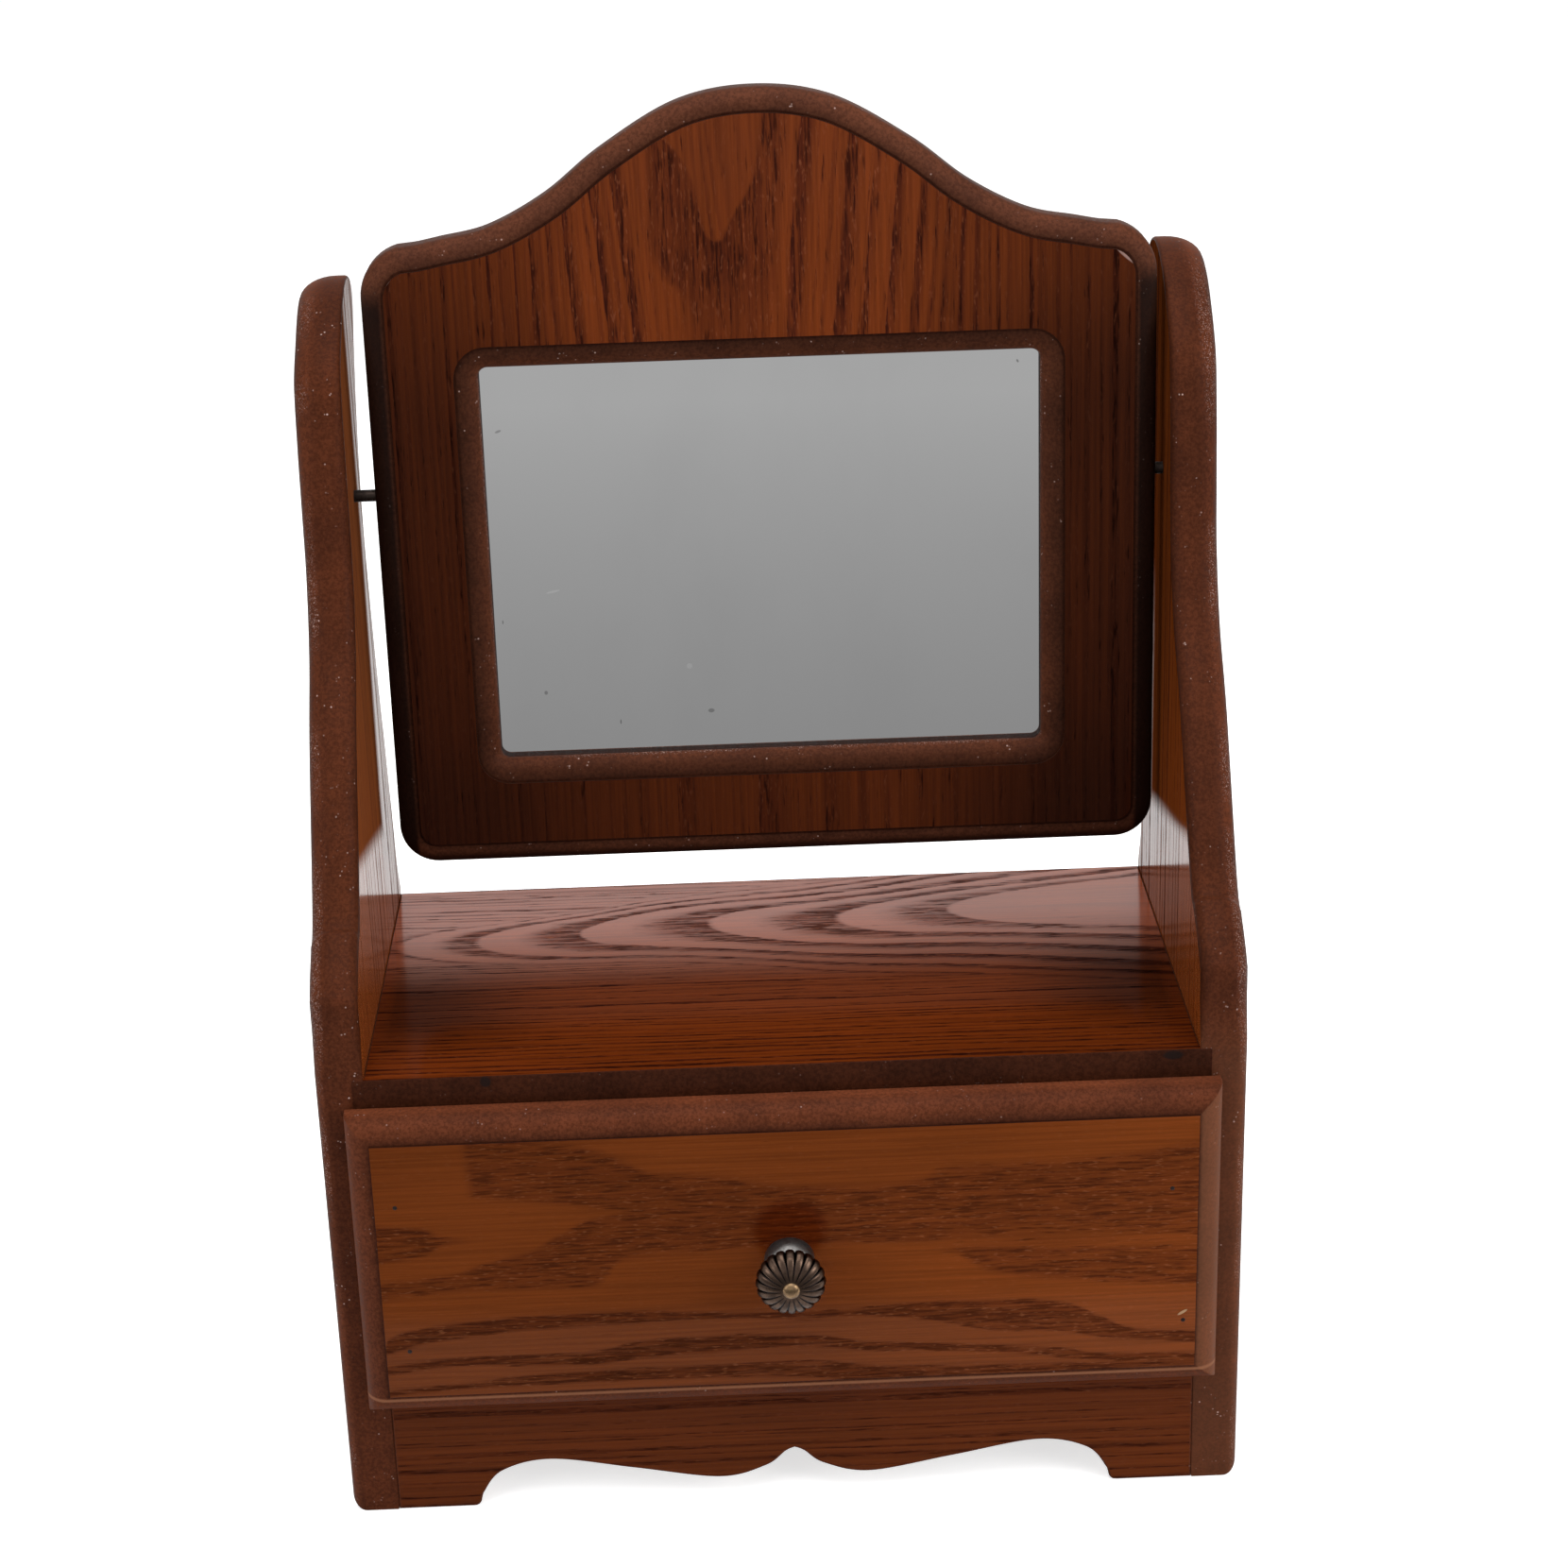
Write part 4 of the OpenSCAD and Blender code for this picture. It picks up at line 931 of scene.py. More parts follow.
def shelf_painted_light(s, across, along):
    """Painted light of the shelf: painted dark reflections at both ends of its middle, a little darker to the right,
    and brighter towards the back.
    """
    back, from_middle = across - CASE_FRONT, abs(along)
    # painted dark reflections at both ends of the middle band
    end = s.most(s.ramp(from_middle, 55, 96, 1.0, 0.42), s.ramp(from_middle, 98, 107, 0.0, 0.66))
    deep = 1.0 - between(s, back, 22 * MM, 62 * MM, 22) * (1.0 - end)
    # painted light: brighter towards the back
    return deep * s.ramp(along, 0, 55, 1.0, 0.92) * s.ramp(back, 50, 110, 1.0, 2.6)


def shelf_marks(s, axes, body, c):
    """Dark filler spots over the brads in the shelf's front edge."""
    x, up = axes[0], axes[2] - (SHELF_TOP - 1.5 * MM)
    dark = s.most(spot(s, x - -76.6 * MM, up, 1.5, 1.6), spot(s, x - 100.9 * MM, up, 2.7, 1.3))
    return s.mix(dark * 0.8, body, c.bronze_dark)


class DRESSING_OT_shelf(bpy.types.Operator):
    """Builds the shelf with its veneered top and stained front edge"""

    bl_idname = "dressing.shelf"
    bl_label = "Shelf"

    def execute(self, context):
        end, rear = SHELF_HIGH[0], SHELF_HIGH[1]
        front, lip = CASE_FRONT - 0.15 * MM, CASE_FRONT + 2 * MM
        half = np.array([[end, front], [end, lip], [CLEAR_X, lip], [CLEAR_X, rear]])
        outline = np.vstack([half, half[::-1] * [-1, 1]])
        loops = plate_loops(outline, eased(SHELF_TOP - SHELF_LOW[2], 0.3 * MM))
        points, faces, kinds = stack(loops, [1] * (len(loops) - 2) + [0])
        top = finishes().veneer("shelf_veneer", (1, 0), shelf_bands, 7.7, 3 * MM, 1.6 * MM, shelf_painted_light, shelf_polish,
                                0.14, (0.66, 0.52, 0.44), bump=0.5, depth=1.0)
        edge = finishes().routed("shelf_edge", 0.43, 0.1, marks=shelf_marks)
        add_piece("shelf", points + [0, 0, SHELF_LOW[2]], faces, kinds, [top, edge], "case",
                  "shelf_board")
        return {"FINISHED"}


class DRESSING_OT_carcass(bpy.types.Operator):
    """Builds the plain boards of the case: its floor and its back panel"""

    bl_idname = "dressing.carcass"
    bl_label = "Floor and back"

    def execute(self, context):
        board("case_floor", "bottom_board", "case", 0.3 * MM)
        board("case_back", "back_panel", "case", 0.3 * MM)
        return {"FINISHED"}


class DRESSING_OT_apron(bpy.types.Operator):
    """Builds the apron under the drawer with its scrolled lower edge"""

    bl_idname = "dressing.apron"
    bl_label = "Apron"

    def execute(self, context):
        low, high = node_box("apron")
        half, corner = high[0], 2 * MM
        foot = half - 22.5 * MM
        lobe, dip = foot - 19.5 * MM, 20.5 * MM
        lobe_rise, dip_rise, tip = 13.8 * MM, 6 * MM, 14.5 * MM
        knots = [[foot - 0.5 * MM, 3.8 * MM], [foot - 6 * MM, lobe_rise - 3.1 * MM], [lobe, lobe_rise],
                 [(lobe + dip) / 2, (lobe_rise + dip_rise) / 2], [dip, dip_rise], [8 * MM, dip_rise + 3 * MM],
                 [2.5 * MM, tip - 1.2 * MM], [0, tip]]
        scroll = np.vstack([arc([foot + corner, corner], corner, 270, 180, 8), spline(knots, 12)])
        outline = np.vstack([scroll * [-1, 1], scroll[::-1][1:],
                             [[half, 0], [half, high[2]], [-half, high[2]], [-half, 0]]])
        loops = plate_loops(outline, eased(high[1] - low[1], sizes().ease))
        points, faces, kinds = stack(loops, [0] + [1] * (len(loops) - 3) + [0])
        face = finishes().veneer("apron_veneer", (2, 0), apron_bands, 11.3, light=(0.54, 0.49, 0.52))
        add_piece("scrolled_apron", stood_up(points, high[1]), faces, kinds,
                  [face, finishes().routed("routed_edge")], "case", "apron")
        return {"FINISHED"}


# Drawer


def drawer_painted_shade(s, across, along):
    """Painted shade of the drawer front: a little darker at the left."""
    return s.ramp(along, -70, 95, 0.76, 0.98)


def drawer_filler_and_painted_shadow(s, axes, body, c):
    """Painted shadow and reflection of the knob in deep red over it, and pale filler in the slit beside the drawer
    front's lower right brad.
    """
    x, z = axes[0], axes[2]
    over_knob = (KNOB_LOW[2] + KNOB_HIGH[2]) / 2 + 9 * MM
    # painted shadow and reflection of the knob, deep red, over it
    red = s.mix(spot(s, x - 0.4 * MM, z - over_knob, 10, 9), (1.0, 1.0, 1.0), (0.7, 0.5, 0.4))
    slit = spot(s, x - 103.2 * MM, z - 58.0 * MM, 1.5, 0.4, 32.0)
    return s.mix(slit * 0.6, s.mix(1.0, body, red, "MULTIPLY"), c.filler)


def drawer_edge_chips_and_painted_light(s, axes, body, c):
    """Painted light on the right edge up to its mitres, a painted highlight along the bottom edge, and small pale
    chips.
    """
    x, z, half = axes[0], axes[2], FRONT_HIGH[0]
    up, from_right = z - FRONT_LOW[2], half - x
    from_end = s.math("MINIMUM", FRONT_HIGH[2] - z, up)
    # painted light on the right edge, up to its mitres
    right = s.ramp(from_right, 5.5, 7, 0.28, 0.0) * s.ramp(from_end - from_right, -0.3, 0.5)
    # painted highlight along the bottom edge
    rubbed = between(s, up, 4.7 * MM, 5.6 * MM, 0.5) * s.span(x, 5 * MM - half, half - 8 * MM, 0.7, 0.78)
    chips = s.most(spot(s, x - -17.7 * MM, z - 127.6 * MM, 1.9, 0.6), spot(s, x - -66.1 * MM, z - 42.6 * MM, 0.7, 0.6))
    body = s.mix(rubbed, s.mix(right, body, c.edge_highlight), c.edge_highlight)
    return s.mix(chips * 0.6, body, c.filler)


def seam_rings(width, thick):
    """Rings of the small step from a routed edge of some width up to the veneer."""
    return [(width, thick - 0.1 * MM), (width + 0.12 * MM, thick)]


class DRESSING_OT_drawer_front(bpy.types.Operator):
    """Builds the drawer front with its routed edge"""

    bl_idname = "dressing.drawer_front"
    bl_label = "Drawer front"

    def execute(self, context):
        p, thick, corner = sizes(), FRONT_HIGH[1] - FRONT_LOW[1], 0.25 * MM
        wide, deep = p.drawer_rout_w, p.drawer_rout_d
        rings = [(1 * MM, 0.0), (corner, 0.0), (0.0, corner)] + hollow(wide, thick - deep, deep - p.rout_step, 14)
        seam = len(rings)
        rings += seam_rings(wide, thick) + [(wide + 0.6 * MM, thick)]
        loops = rectangle_loops(FRONT_HIGH[0], (FRONT_HIGH[2] - FRONT_LOW[2]) / 2, corner, rings)
        rim = rim_share(rings, 3, seam - 1, loops.shape[1])
        points, faces, kinds = stack(loops, [1] * (seam - 1) + [2, 2, 0], 1, 0)
        make = finishes()
        face = make.veneer("drawer_veneer", (2, 0), drawer_bands, 5.2, 1.5 * MM, 1.6 * MM, drawer_painted_shade, 0.09,
                           light=(0.91, 0.9, 0.88), depth=0.66, pore_glint=0.45, marks=drawer_filler_and_painted_shadow)
        # the profile paints light and shade across the drawer front's routed edge
        edge = make.routed("drawer_edge", 1.12, 0.4, (1.5, 1.16, 0.96, 1.04, 1.0, 0.9, 0.74, 0.5),
                           drawer_edge_chips_and_painted_light)
        add_piece("drawer_face", stood_up(points, FRONT_HIGH[1], (FRONT_LOW[2] + FRONT_HIGH[2]) / 2), faces, kinds,
                  [face, edge, make.routed("seam", 0.3, 0.0)], "drawer", "drawer_front", rim=rim)
        return {"FINISHED"}


class DRESSING_OT_drawer_box(bpy.types.Operator):
    """Builds the plain boards of the drawer behind its front"""

    bl_idname = "dressing.drawer_box"
    bl_label = "Drawer box"

    def execute(self, context):
        for node in ("drawer_left_side", "drawer_right_side", "drawer_back"):
            board(node + "_board", node, "drawer", 0.4 * MM)
        board("drawer_bottom_board", "drawer_bottom", "drawer", 0.4 * MM, shorten=0.3 * MM)
        return {"FINISHED"}


class DRESSING_OT_knob(bpy.types.Operator):
    """Builds the bronze knob with its round foot, its petalled head and its button"""

    bl_idname = "dressing.knob"
    bl_label = "Knob"

    def execute(self, context):
        radius, tall = (KNOB_HIGH[0] - KNOB_LOW[0]) / 2, KNOB_HIGH[1] - KNOB_LOW[1]
        foot_r, foot_t, foot_rim, neck, button = 6.6 * MM, 5.2 * MM, 0.8 * MM, 4 * MM, 2.3 * MM
        half = 4.8 * MM
        middle = tall - 1.0 * MM - half
        a = np.radians(np.linspace(0, 90, 12))
        foot = np.stack([neck + (foot_r - neck) * np.cos(a), foot_rim + (foot_t - foot_rim) * np.sin(a)], 1)
        b = np.linspace(-math.acos(neck / radius), math.acos(button / radius), 48)
        head = np.stack([radius * np.cos(b), middle + half * np.sin(b)], 1)
        c = np.radians(np.linspace(0, 86, 12))
        base = head[-1, 1] - 0.15 * MM
        cap = np.stack([button * np.cos(c), base + (tall - base) * np.sin(c)], 1)
        profile = np.vstack([[[foot_r - 1 * MM, 0], [foot_r, 0]], foot, head,
                             [[button + 0.05 * MM, base - 0.15 * MM]], cap])
        first, last = 2 + len(foot), 2 + len(foot) + len(head)
        share = np.zeros((len(profile), 1))
        share[first:last, 0] = np.sin(np.linspace(0, np.pi, len(head))) ** 0.5
        petals = sizes().knob_petals
        count = petals * 20
        valley = 1 - np.abs(np.cos(np.linspace(0, 2 * np.pi, count, endpoint=False) * petals / 2))
        loops = lathe(profile, count, -share * (0.075 * valley**3 + 0.035 * valley))
        flutes = np.minimum(share * 2, 1) * valley**1.6
        kinds = np.where((share[:-1, 0] > 0) | (share[1:, 0] > 0), 0, 1)
        kinds[:first], kinds[last:] = 1, 2
        points, faces, kinds = stack(loops, kinds, 1, 2)
        colours, make = context.scene.mirror_colours, finishes()
        metals = [make.metal("petal_bronze", colours.bronze, colours.bronze_dark, 0.3, 350.0, flutes=True),
                  make.metal("foot_bronze", colours.foot, colours.bronze_dark, 0.42),
                  make.metal("button_brass", colours.brass, colours.bronze, 0.3, 700.0)]
        add_piece("petal_knob", stood_up(points, KNOB_HIGH[1], (KNOB_LOW[2] + KNOB_HIGH[2]) / 2), faces, kinds,
                  metals, "drawer", "knob", 50.0, flutes.ravel())
        return {"FINISHED"}


# Mirror


class FrameShape:
    """Lengths of the mirror frame on its own plane, measured from the turning axis."""

    width, thick = 2 * (CLEAR_X - 4 * MM), 12 * MM
    above, below = 104.2 * MM, 104.2 * MM
    corner, shoulder = 10.5 * MM, 13.5 * MM
    stile, rail_low, rail_top = 30 * MM, 29.5 * MM, 70.3 * MM
    window_half, window_low, window_high = width / 2 - stile, rail_low - below, above - rail_top
    window_r = 2.5 * MM
    lip, lap, ledge = 1.8 * MM, 5 * MM, 7 * MM
    glass, backing = 2 * MM, 2.5 * MM
    shift, window_shift = 1.75 * MM, 0.75 * MM
    crest = np.array([[-1.5, -37.6], [83, -36.4], [70, -33.6], [55, -25.8], [40, -14.4], [20, -3.2], [0, 0]]) * MM
    back_r = 2 * MM


CORNER_POINTS, SIDE_POINTS = 12, 60
# Painted light and shade across the frame's and the window's routed edges, from the rim's start to its end.
FRAME_RIM_PAINTED_LIGHT = (0.62, 1.0, 1.15, 1.06, 0.92, 0.74, 0.42)
WINDOW_RIM_PAINTED_LIGHT = (1.1, 1.3, 1.15, 0.95, 0.76, 0.62, 0.42)


def frame_loop(lower_left, lower_right, upper_right, upper_left, top=None):
    """One loop of the frame: its corners, each an array of points, and the runs between them, with the same
    count of points on every loop. The upper run follows the curve top where there is one."""
    n = SIDE_POINTS
    over = run(upper_right[-1], upper_left[0], 3 * n) if top is None else spaced(top, 3 * n)
    return np.vstack([lower_right, run(lower_right[-1], upper_right[0], n), upper_right, over, upper_left,
                      run(upper_left[-1], lower_left[0], n), lower_left, run(lower_left[-1], lower_right[0], n)])


def window_loop(half_w, low, high, radius):
    """Rectangle with round corners as a loop of the frame."""
    x, low, high = half_w - radius, low + radius, high - radius
    corners = ((-x, low, 180), (x, low, -90), (x, high, 0), (-x, high, 90))
    return frame_loop(*(arc((u, v), radius, a, a + 90, CORNER_POINTS) for u, v, a in corners))


def frame_outline():
    """Outer loop of the frame: round lower corners, round shoulders and the arched crest between them."""
    f = FrameShape
    x, low = f.width / 2 - f.corner, f.corner - f.below
    shoulder_x = f.width / 2 - f.shoulder
    crest = f.crest + [0, f.above]
    crest[0, 0] += shoulder_x
    arch = spline(np.vstack([crest, (crest[:-1] * [-1, 1])[::-1]]), 12)
    right = arc((shoulder_x, crest[0, 1] - f.shoulder), f.shoulder, 0, 75, CORNER_POINTS)
    left = right[::-1] * [-1, 1]
    return frame_loop(arc((-x, low), f.corner, 180, 270, CORNER_POINTS), arc((x, low), f.corner, -90, 0, CORNER_POINTS),
                      right, left, np.vstack([right[-1:], arch, left[:1]]))


def on_mirror(points):
    """Points [across, up, forward from the frame's back] in the object's frame: leaned back about the turning
    axis by the frame's lean, then moved to the axis."""
    cos, sin = math.cos(sizes().frame_lean), math.sin(sizes().frame_lean)
    x, up, back = points[..., 0], points[..., 1], FrameShape.thick / 2 - points[..., 2]
    return np.stack([x + FrameShape.shift, back * cos + up * sin + AXIS_BACK, up * cos - back * sin + AXIS_UP], -1)


def frame_stain_and_painted_shade(s, across, along):
    """Stain and painted shade of the frame: darker towards the stiles, downwards and in the lower corners,
    and on the right stile."""
    x, up = abs(across - FrameShape.shift), along - AXIS_UP
    # stain and painted shade: darker to the sides, in the lower corners, on the right stile and downwards
    corner = s.ramp(x, 22, 60) * s.ramp(up, -85, -60, 1.0, 0.0)
    right = s.ramp(across, 55, 85) * s.ramp(up, 25, 60, 1.0, 0.0)
    side = s.ramp(x, 25, 80, 1.0, 0.6) * (corner * -0.2 + 1.0)
    low = s.ramp(x * -0.6 + up, -35, 30, 0.5, 1.0)
    return side * (right * -0.16 + s.ramp(x, 8, 40, 0.92, 1.0)) * low


def frame_painted_highlights(s, axes, body, c):
    """Painted highlights: pale lines on the veneer inside the frame's shoulders."""
    x, up = axes[0] - FrameShape.shift, axes[2] - AXIS_UP
    # painted highlights of the lacquer at the two shoulders
    right = spot(s, x - 95.2 * MM, up - 58.9 * MM, 4.4, 0.8, -42.0)
    left = spot(s, x - -96.2 * MM, up - 58.4 * MM, 2.6, 0.5, 52.0)
    return s.mix(right * 0.4 + left * 0.18, body, c.dust_and_glint)


def frame_edge_painted_shade(s, axes, body, c):
    """Painted shade on the frame's edges that face the arms, and underneath."""
    from_side = abs(axes[0] - FrameShape.shift) - FrameShape.width / 2
    up = axes[2] - AXIS_UP
    # painted shade on the sides that face the arms and under the frame
    side = s.ramp(from_side, -6.0, -4.4) * s.ramp(up, 50, 59, 1.0, 0.0)
    under = s.ramp(up, -103, -99.5, 1.0, 0.0)
    return s.mix(s.most(side, under) * 0.88, body, c.edge_shadow)


class DRESSING_OT_mirror_frame(bpy.types.Operator):
    """Builds the arched mirror frame with its routed edges and its window"""

    bl_idname = "dressing.mirror_frame"
    bl_label = "Mirror frame"

    def execute(self, context):
        p, f = sizes(), FrameShape
        wide, deep = p.frame_rout_w, p.frame_rout_d
        outer = frame_outline()
        step = outward(outer)

        def outer_loops(rings):
            return [raised(outer - inset * step, height) for inset, height in rings]

        def inner_loops(rings, radius=None):
            loops = []
            for margin, height in rings:
                flat = window_loop(f.window_half + margin, f.window_low - margin, f.window_high + margin,
                                   radius or f.window_r + margin)
                loops.append(raised(flat - [f.window_shift, 0], height))
            return loops

        back = [(f.back_r + 0.5 * MM, 0.0)] + rounding(f.back_r, f.back_r, 6)
        rout = hollow(wide, f.thick - deep, deep - p.rout_step, 16)
        seam = seam_rings(wide, f.thick)
        flat = [(wide + 0.6 * MM, f.thick)]
        glass_front = f.thick - deep - f.lip
        ledge = [(f.lap, glass_front), (f.lap, glass_front - f.glass), (f.lap + f.ledge, glass_front - f.glass),
                 (f.lap + f.ledge, 0.0)]
        loops = np.array(outer_loops(back + rout + seam + flat)
                         + inner_loops(flat + seam[::-1] + rout[::-1] + [(0.0, glass_front)])
                         + inner_loops(ledge, 0.3 * MM))
        veneered, edged, stepped, lipped, windowed, behind = range(6)
        n = len(rout) - 2
        kinds = ([behind] + [edged] * (len(back) - 1 + n) + [stepped] * 3 + [veneered] * 3 + [stepped] * 3
                 + [windowed] * n + [lipped] * 5 + [behind])
        rows, columns = loops.shape[:2]
        make = finishes()
        parts = [make.veneer("frame_veneer", (0, 2), frame_bands, 1.4, 1.2 * MM, 1.0 * MM, frame_stain_and_painted_shade, 0.08,
                             light=(0.79, 0.68, 0.74), depth=1.0, pore_glint=0.5, marks=frame_painted_highlights),
                 make.routed("frame_edge", (0.91, 1.09, 1.3), 0.6, FRAME_RIM_PAINTED_LIGHT, frame_edge_painted_shade),
                 # The window's lip is painted shade: its colour is darkened to near black.
                 make.routed("seam", 0.3, 0.0), make.routed("window_lip", 0.2, 0.1),
                 make.routed("window_edge", (0.7, 0.79, 0.87), 0.7, WINDOW_RIM_PAINTED_LIGHT, sparkle=(0.0, 0.16)),
                 make.veneer("frame_back_veneer", (0, 2), side_bands, 8.3, light=(0.6, 0.5, 0.52))]
        share = rim_share(rout, 0, len(rout) - 1, 1)
        rim = np.concatenate([np.zeros(len(back)), share, np.ones(6), share[::-1], np.zeros(5)])
        add_piece("arched_frame", on_mirror(loops.reshape(-1, 3)), grid(rows, columns, True).tolist(),
                  np.repeat(kinds, columns), parts, "mirror", "mirror_frame",
                  rim=np.repeat(rim, columns))
        return {"FINISHED"}


class DRESSING_OT_looking_glass(bpy.types.Operator):
    """Builds the silvered glass and the board behind it"""

    bl_idname = "dressing.looking_glass"
    bl_label = "Looking glass"

    def execute(self, context):
        f = FrameShape
        behind = f.thick - sizes().frame_rout_d - f.lip - f.glass
        half_h, middle = (f.window_high - f.window_low) / 2, (f.window_low + f.window_high) / 2
        panes = [("glass_pane", f.lap, behind, f.glass, finishes().glass, "looking_glass", "mirror_glass"),
                 ("glass_backing", f.lap + f.ledge, behind - f.backing, f.backing, finishes().plain, "plain_board",
                  "mirror_backing")]
        for name, reach, base, thick, make, slot, node in panes:
            margin = reach - 0.25 * MM
            loops = rectangle_loops(f.window_half + margin, half_h + margin, 0.3 * MM, eased(thick, 0.15 * MM, 3),
                                    (-f.window_shift, middle))
            points, faces, kinds = stack(loops + [0, 0, base])
            add_piece(name, on_mirror(points), faces, kinds, [make(slot)], "mirror", node)
        return {"FINISHED"}


# Screws and nails


def headed(radius, rise, shank, tall, count=24):
    """Loops of a nail or a screw: a low domed head, then a shank of its own radius."""
    a = np.radians(np.linspace(84, 0, 8))
    dome = np.stack([radius * np.cos(a), rise * np.sin(a)], 1)
    below = np.array([[radius, -0.4 * MM], [shank, -0.6 * MM], [shank, -tall]])
    return lathe(np.vstack([dome, below]), count)


def matrix_to(direction):
    """Rotation that takes +Z to a unit direction."""
    d = np.asarray(direction, float)
    side = np.cross([0.0, 0.0, 1.0] if abs(d[2]) < 0.9 else [1.0, 0.0, 0.0], d)
    side /= np.linalg.norm(side)
    return np.stack([side, np.cross(d, side), d], 1)


def toward(points, direction, at):
    """Points drawn round +Z, turned so that +Z points along direction, then moved to a place."""
    return points @ matrix_to(direction).T + np.asarray(at)


def solid_boxes(node):
    """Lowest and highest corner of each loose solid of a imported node."""
    work = bmesh.new()
    work.from_mesh(frame["nodes"][node].data)
    bmesh.ops.remove_doubles(work, verts=work.verts, dist=1e-6)
    seen, boxes = set(), []
    for start in work.verts:
        if start in seen:
            continue
        group, reach = [], [start]
        seen.add(start)
        while reach:
            vertex = reach.pop()
            group.append(vertex.co[:])
            beside = {edge.other_vert(vertex) for edge in vertex.link_edges} - seen
            seen |= beside
            reach += beside
        boxes.append((np.min(group, 0), np.max(group, 0)))
    work.free()
    return boxes


def dark_steel():
    """Material of the nails and the screws."""
    c = bpy.context.scene.mirror_colours
    return finishes().metal("dark_steel", c.steel, c.bronze_dark, 0.5)


# Nails of each node: the way their heads point, the body they ride and the head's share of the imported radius
NAILS = [
    ("case_nails", (-1, 0, 0), "case", 1.0),
    ("back_panel_nails", (0, 1, 0), "case", 1.0),
    ("drawer_front_nails", (0, -1, 0), "drawer", 0.6),
    ("drawer_back_nails", (-1, 0, 0), "drawer", 1.0),
    ("drawer_bottom_nails", (0, 0, -1), "drawer", 1.0),
]


class DRESSING_OT_nails(bpy.types.Operator):
    """Builds the nails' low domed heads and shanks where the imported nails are"""

    bl_idname = "dressing.nails"
    bl_label = "Nails"

    def execute(self, context):
        for node, direction, body, share in NAILS:
            all_points, all_faces = np.empty((0, 3)), []
            for low, high in solid_boxes(node):
                way = np.array(direction, float)
                if direction[0] and low[0] > 0:
                    way = -way
                reach = np.abs((high - low) @ np.abs(way))
                wide = np.min(high - low) / 2 * share
                points, faces, _ = stack(headed(wide, 0.12 * MM, wide * 0.68, reach))
                all_faces += [[corner + len(all_points) for corner in face] for face in faces]
                all_points = np.vstack([all_points, toward(points, way, (low + high) / 2 + way * reach / 2)])
            add_piece(node + "_set", all_points, all_faces, np.zeros(len(all_faces)), [dark_steel()], body,
                      node)
        return {"FINISHED"}


class DRESSING_OT_screws(bpy.types.Operator):
    """Finishes the pivot screws, the knob's screw and the backing screws"""

    bl_idname = "dressing.screws"
    bl_label = "Screws"

    def execute(self, context):
        for node, side in (("left_pivot_screw", -1), ("right_pivot_screw", 1)):
            low, high = node_box(node)
            at = (low + high) / 2
            at[0] = low[0] if side < 0 else high[0]
            points, faces, kinds = stack(headed(3.25 * MM, 0.3 * MM, 1.6 * MM, high[0] - low[0], 40))
            add_piece(node + "_turned", toward(points, (side, 0, 0), at), faces, kinds, [dark_steel()], "mirror",
                      node)
        for node in ("knob_screw", "backing_screws"):
            packed = frame["nodes"][node]
            packed.data.materials.clear()
            packed.data.materials.append(dark_steel())
        return {"FINISHED"}


# Floor, lamps and camera

PHOTO_W = 1660  # width of the photograph in pixels
LENS = 3321.94  # focal length in its pixels
EYE = (-0.01165, -0.77045, 0.49672)
YAW, PITCH, ROLL = 0.0195534, 0.3792562, 0.0300267

# Lamps: name, place, aim, size, power, seen in reflections
LAMPS = [
    ("top_lamp", (0.0, -0.35, 1.5), (0.0, 0.0, 0.15), 1.3, 14.5, True),
    ("back_lamp", (0.0, 0.75, 0.95), (0.0, 0.05, 0.13), 0.8, 7.0, False),
    ("left_lamp", (-1.3, -0.9, 0.8), (0.0, 0.0, 0.15), 0.9, 6.6, True),
    ("right_lamp", (1.3, -0.9, 0.8), (0.0, 0.0, 0.15), 0.9, 12.5, True),
]


def placed(name, data, turn, place):
    """New object in the scene, with its own turn and place."""
    thing = bpy.data.objects.new(name, data)
    bpy.context.scene.collection.objects.link(thing)
    m = np.eye(4)
    m[:3, :3], m[:3, 3] = turn, place
    thing.matrix_world = Matrix(m.tolist())
    return thing


def camera_turn():
    """Camera's turn: forward by yaw and pitch, then rolled about the line of sight."""
    cy, sy, cp, sp, cr, sr = (f(a) for a in (YAW, PITCH, ROLL) for f in (math.cos, math.sin))
    forward, right = np.array([sy * cp, cy * cp, -sp]), np.array([cy, -sy, 0.0])
    down = np.cross(forward, right)
    return np.stack([cr * right + sr * down, sr * right - cr * down, -forward], 1)


def flat_sheet(name, low, high, z, material):
    """Flat rectangle at height z."""
    mesh = bpy.data.meshes.new(name)
    mesh.from_pydata([(low[0], low[1], z), (high[0], low[1], z), (high[0], high[1], z), (low[0], high[1], z)], [],
                     [(0, 1, 2, 3)])
    mesh.materials.append(material)
    sheet = placed(name, mesh, np.eye(3), (0, 0, 0))
    return sheet


def bare(data):
    """Shader helper of a material or a world whose nodes have been cleared."""
    data.use_nodes = True
    data.node_tree.nodes.clear()
    return Shader(data.node_tree)


def seen(s):
    """1 for camera, glossy and transmitted rays, and 0 for the rays that carry light."""
    path = s.add("ShaderNodeLightPath", {}).outputs
    return s.most(*(Wire(s, path[f"Is {kind} Ray"]) for kind in ("Camera", "Glossy", "Transmission")))


def floor_material():
    """Pale floor: a matt surface that keeps the shadow, and to camera, glossy and transmitted rays a white
    glow under it."""
    material = bpy.data.materials.new("pale_floor")
    s = bare(material)
    matt = s.out("ShaderNodeBsdfDiffuse", {"Color": (0.8, 0.8, 0.8)})
    glow = s.out("ShaderNodeEmission", {"Color": (1.0, 1.0, 1.0), "Strength": 0.67})
    both = s.out("ShaderNodeAddShader", {0: matt, 1: glow})
    s.add("ShaderNodeOutputMaterial", {"Surface": s.out("ShaderNodeMixShader", {0: seen(s), 1: matt, 2: both})})
    return material


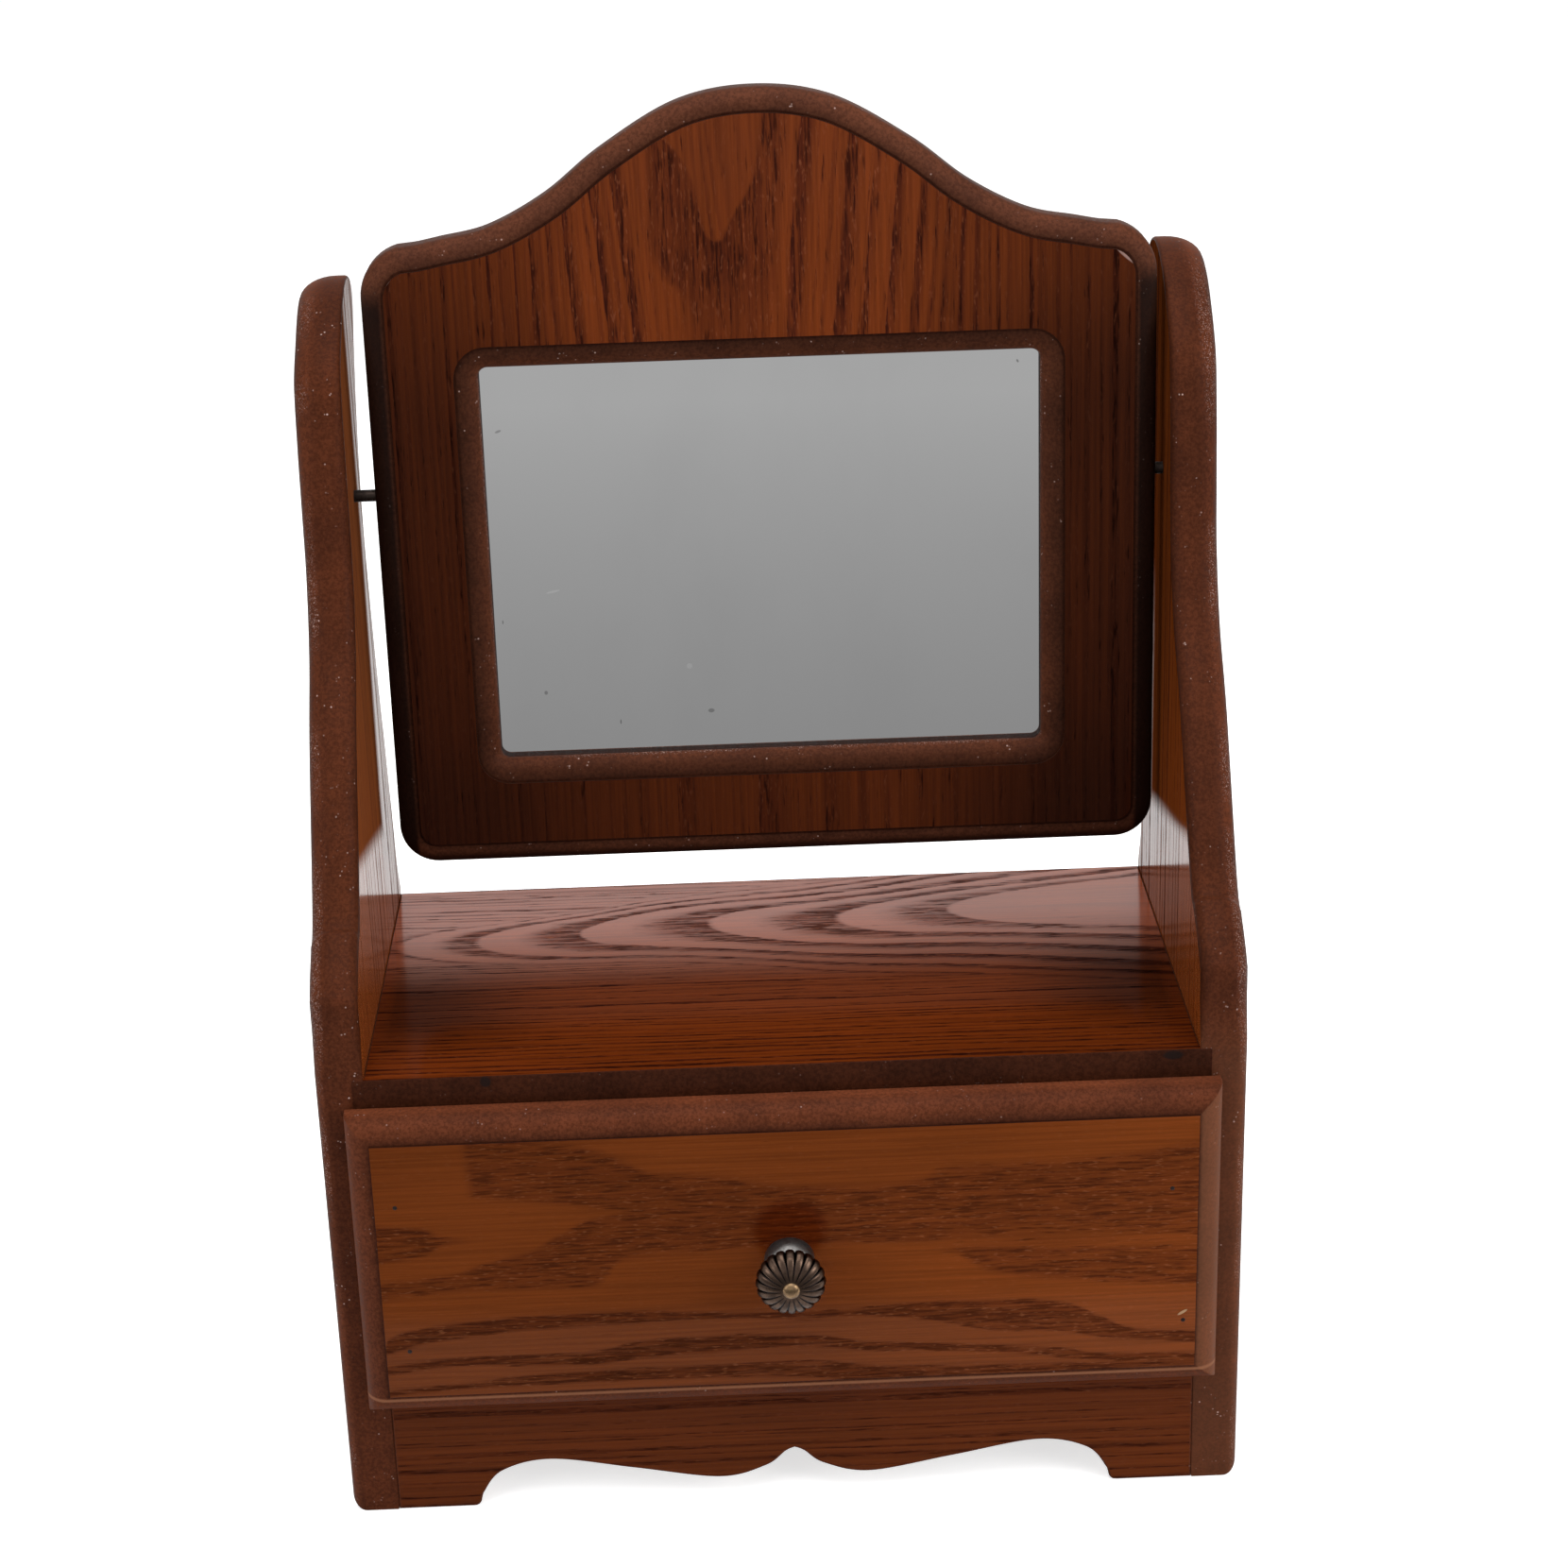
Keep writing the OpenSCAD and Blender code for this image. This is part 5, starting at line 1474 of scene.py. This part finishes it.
def card_material():
    """Grey studio card that only reflections see: it glows, a painted reflection that is lighter further from the
    object.
    """
    material = bpy.data.materials.new("grey_card")
    s = bare(material)
    y = s.parts(s.out("ShaderNodeTexCoord", {}, "Object"))[1]
    # painted reflection: the card's glow fades towards the object
    level = s.span(y, -1.4, -0.5, 0.48, 0.31, smooth=False)
    glow = s.out("ShaderNodeEmission", {"Color": s.join(level, level, level), "Strength": 1.0})
    s.add("ShaderNodeOutputMaterial", {"Surface": glow})
    return material


class DRESSING_OT_stage(bpy.types.Operator):
    """Sets up the pale floor, the grey card that the glass reflects, the soft lamps, the world and the camera"""

    bl_idname = "dressing.stage"
    bl_label = "Stage"

    def execute(self, context):
        scene = context.scene
        flat_sheet("floor", (-4, -4), (4, 4), -0.2 * MM, floor_material())
        card = flat_sheet("grey_card", (-1.5, -2.6), (1.5, -0.16), 1 * MM, card_material())
        card.visible_camera = card.visible_diffuse = card.visible_shadow = card.visible_transmission = False
        for name, place, aim, size, power, reflected in LAMPS:
            data = bpy.data.lights.new(name, "AREA")
            data.size, data.energy = size, power
            way = np.subtract(place, aim)
            placed(name, data, matrix_to(way / np.linalg.norm(way)), place).visible_glossy = reflected
        scene.world = bpy.data.worlds.new("studio")
        s = bare(scene.world)
        back = s.out("ShaderNodeBackground", {"Color": (1.0, 1.0, 1.0), "Strength": seen(s) * 0.6 + 0.4})
        s.add("ShaderNodeOutputWorld", {"Surface": back})
        data = bpy.data.cameras.new("camera")
        data.sensor_fit = "HORIZONTAL"
        data.sensor_width = 36.0
        data.lens = data.sensor_width * LENS / PHOTO_W
        data.clip_start = 0.01
        scene.camera = placed("camera", data, camera_turn(), EYE)
        scene.view_settings.view_transform = "Standard"
        return {"FINISHED"}


PIECES = [
    DRESSING_OT_side_panels,
    DRESSING_OT_shelf,
    DRESSING_OT_carcass,
    DRESSING_OT_apron,
    DRESSING_OT_drawer_front,
    DRESSING_OT_drawer_box,
    DRESSING_OT_knob,
    DRESSING_OT_mirror_frame,
    DRESSING_OT_looking_glass,
    DRESSING_OT_nails,
    DRESSING_OT_screws,
    DRESSING_OT_stage,
]


class DRESSING_PT_panel(bpy.types.Panel):
    """Lists the pieces of the dressing mirror with their sizes and colours"""

    bl_idname = "DRESSING_PT_panel"
    bl_label = "Dressing mirror"
    bl_space_type = "VIEW_3D"
    bl_region_type = "UI"
    bl_category = "Dressing Mirror"

    def draw(self, context):
        for piece in PIECES:
            self.layout.operator(piece.bl_idname)
        for group in (context.scene.mirror_sizes, context.scene.mirror_colours):
            for key in group.__annotations__:
                self.layout.prop(group, key)


CLASSES = [MirrorSizes, MirrorColours, *PIECES, DRESSING_PT_panel]


def register():
    for cls in CLASSES:
        bpy.utils.register_class(cls)
    bpy.types.Scene.mirror_sizes = PointerProperty(type=MirrorSizes)
    bpy.types.Scene.mirror_colours = PointerProperty(type=MirrorColours)


def unregister():
    del bpy.types.Scene.mirror_colours
    del bpy.types.Scene.mirror_sizes
    for cls in reversed(CLASSES):
        bpy.utils.unregister_class(cls)


def main():
    """Builds every piece and the stage."""
    register()
    bpy.ops.dressing.side_panels()
    bpy.ops.dressing.shelf()
    bpy.ops.dressing.carcass()
    bpy.ops.dressing.apron()
    bpy.ops.dressing.drawer_front()
    bpy.ops.dressing.drawer_box()
    bpy.ops.dressing.knob()
    bpy.ops.dressing.mirror_frame()
    bpy.ops.dressing.looking_glass()
    bpy.ops.dressing.nails()
    bpy.ops.dressing.screws()
    bpy.ops.dressing.stage()
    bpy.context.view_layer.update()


if __name__ == "__main__":
    main()
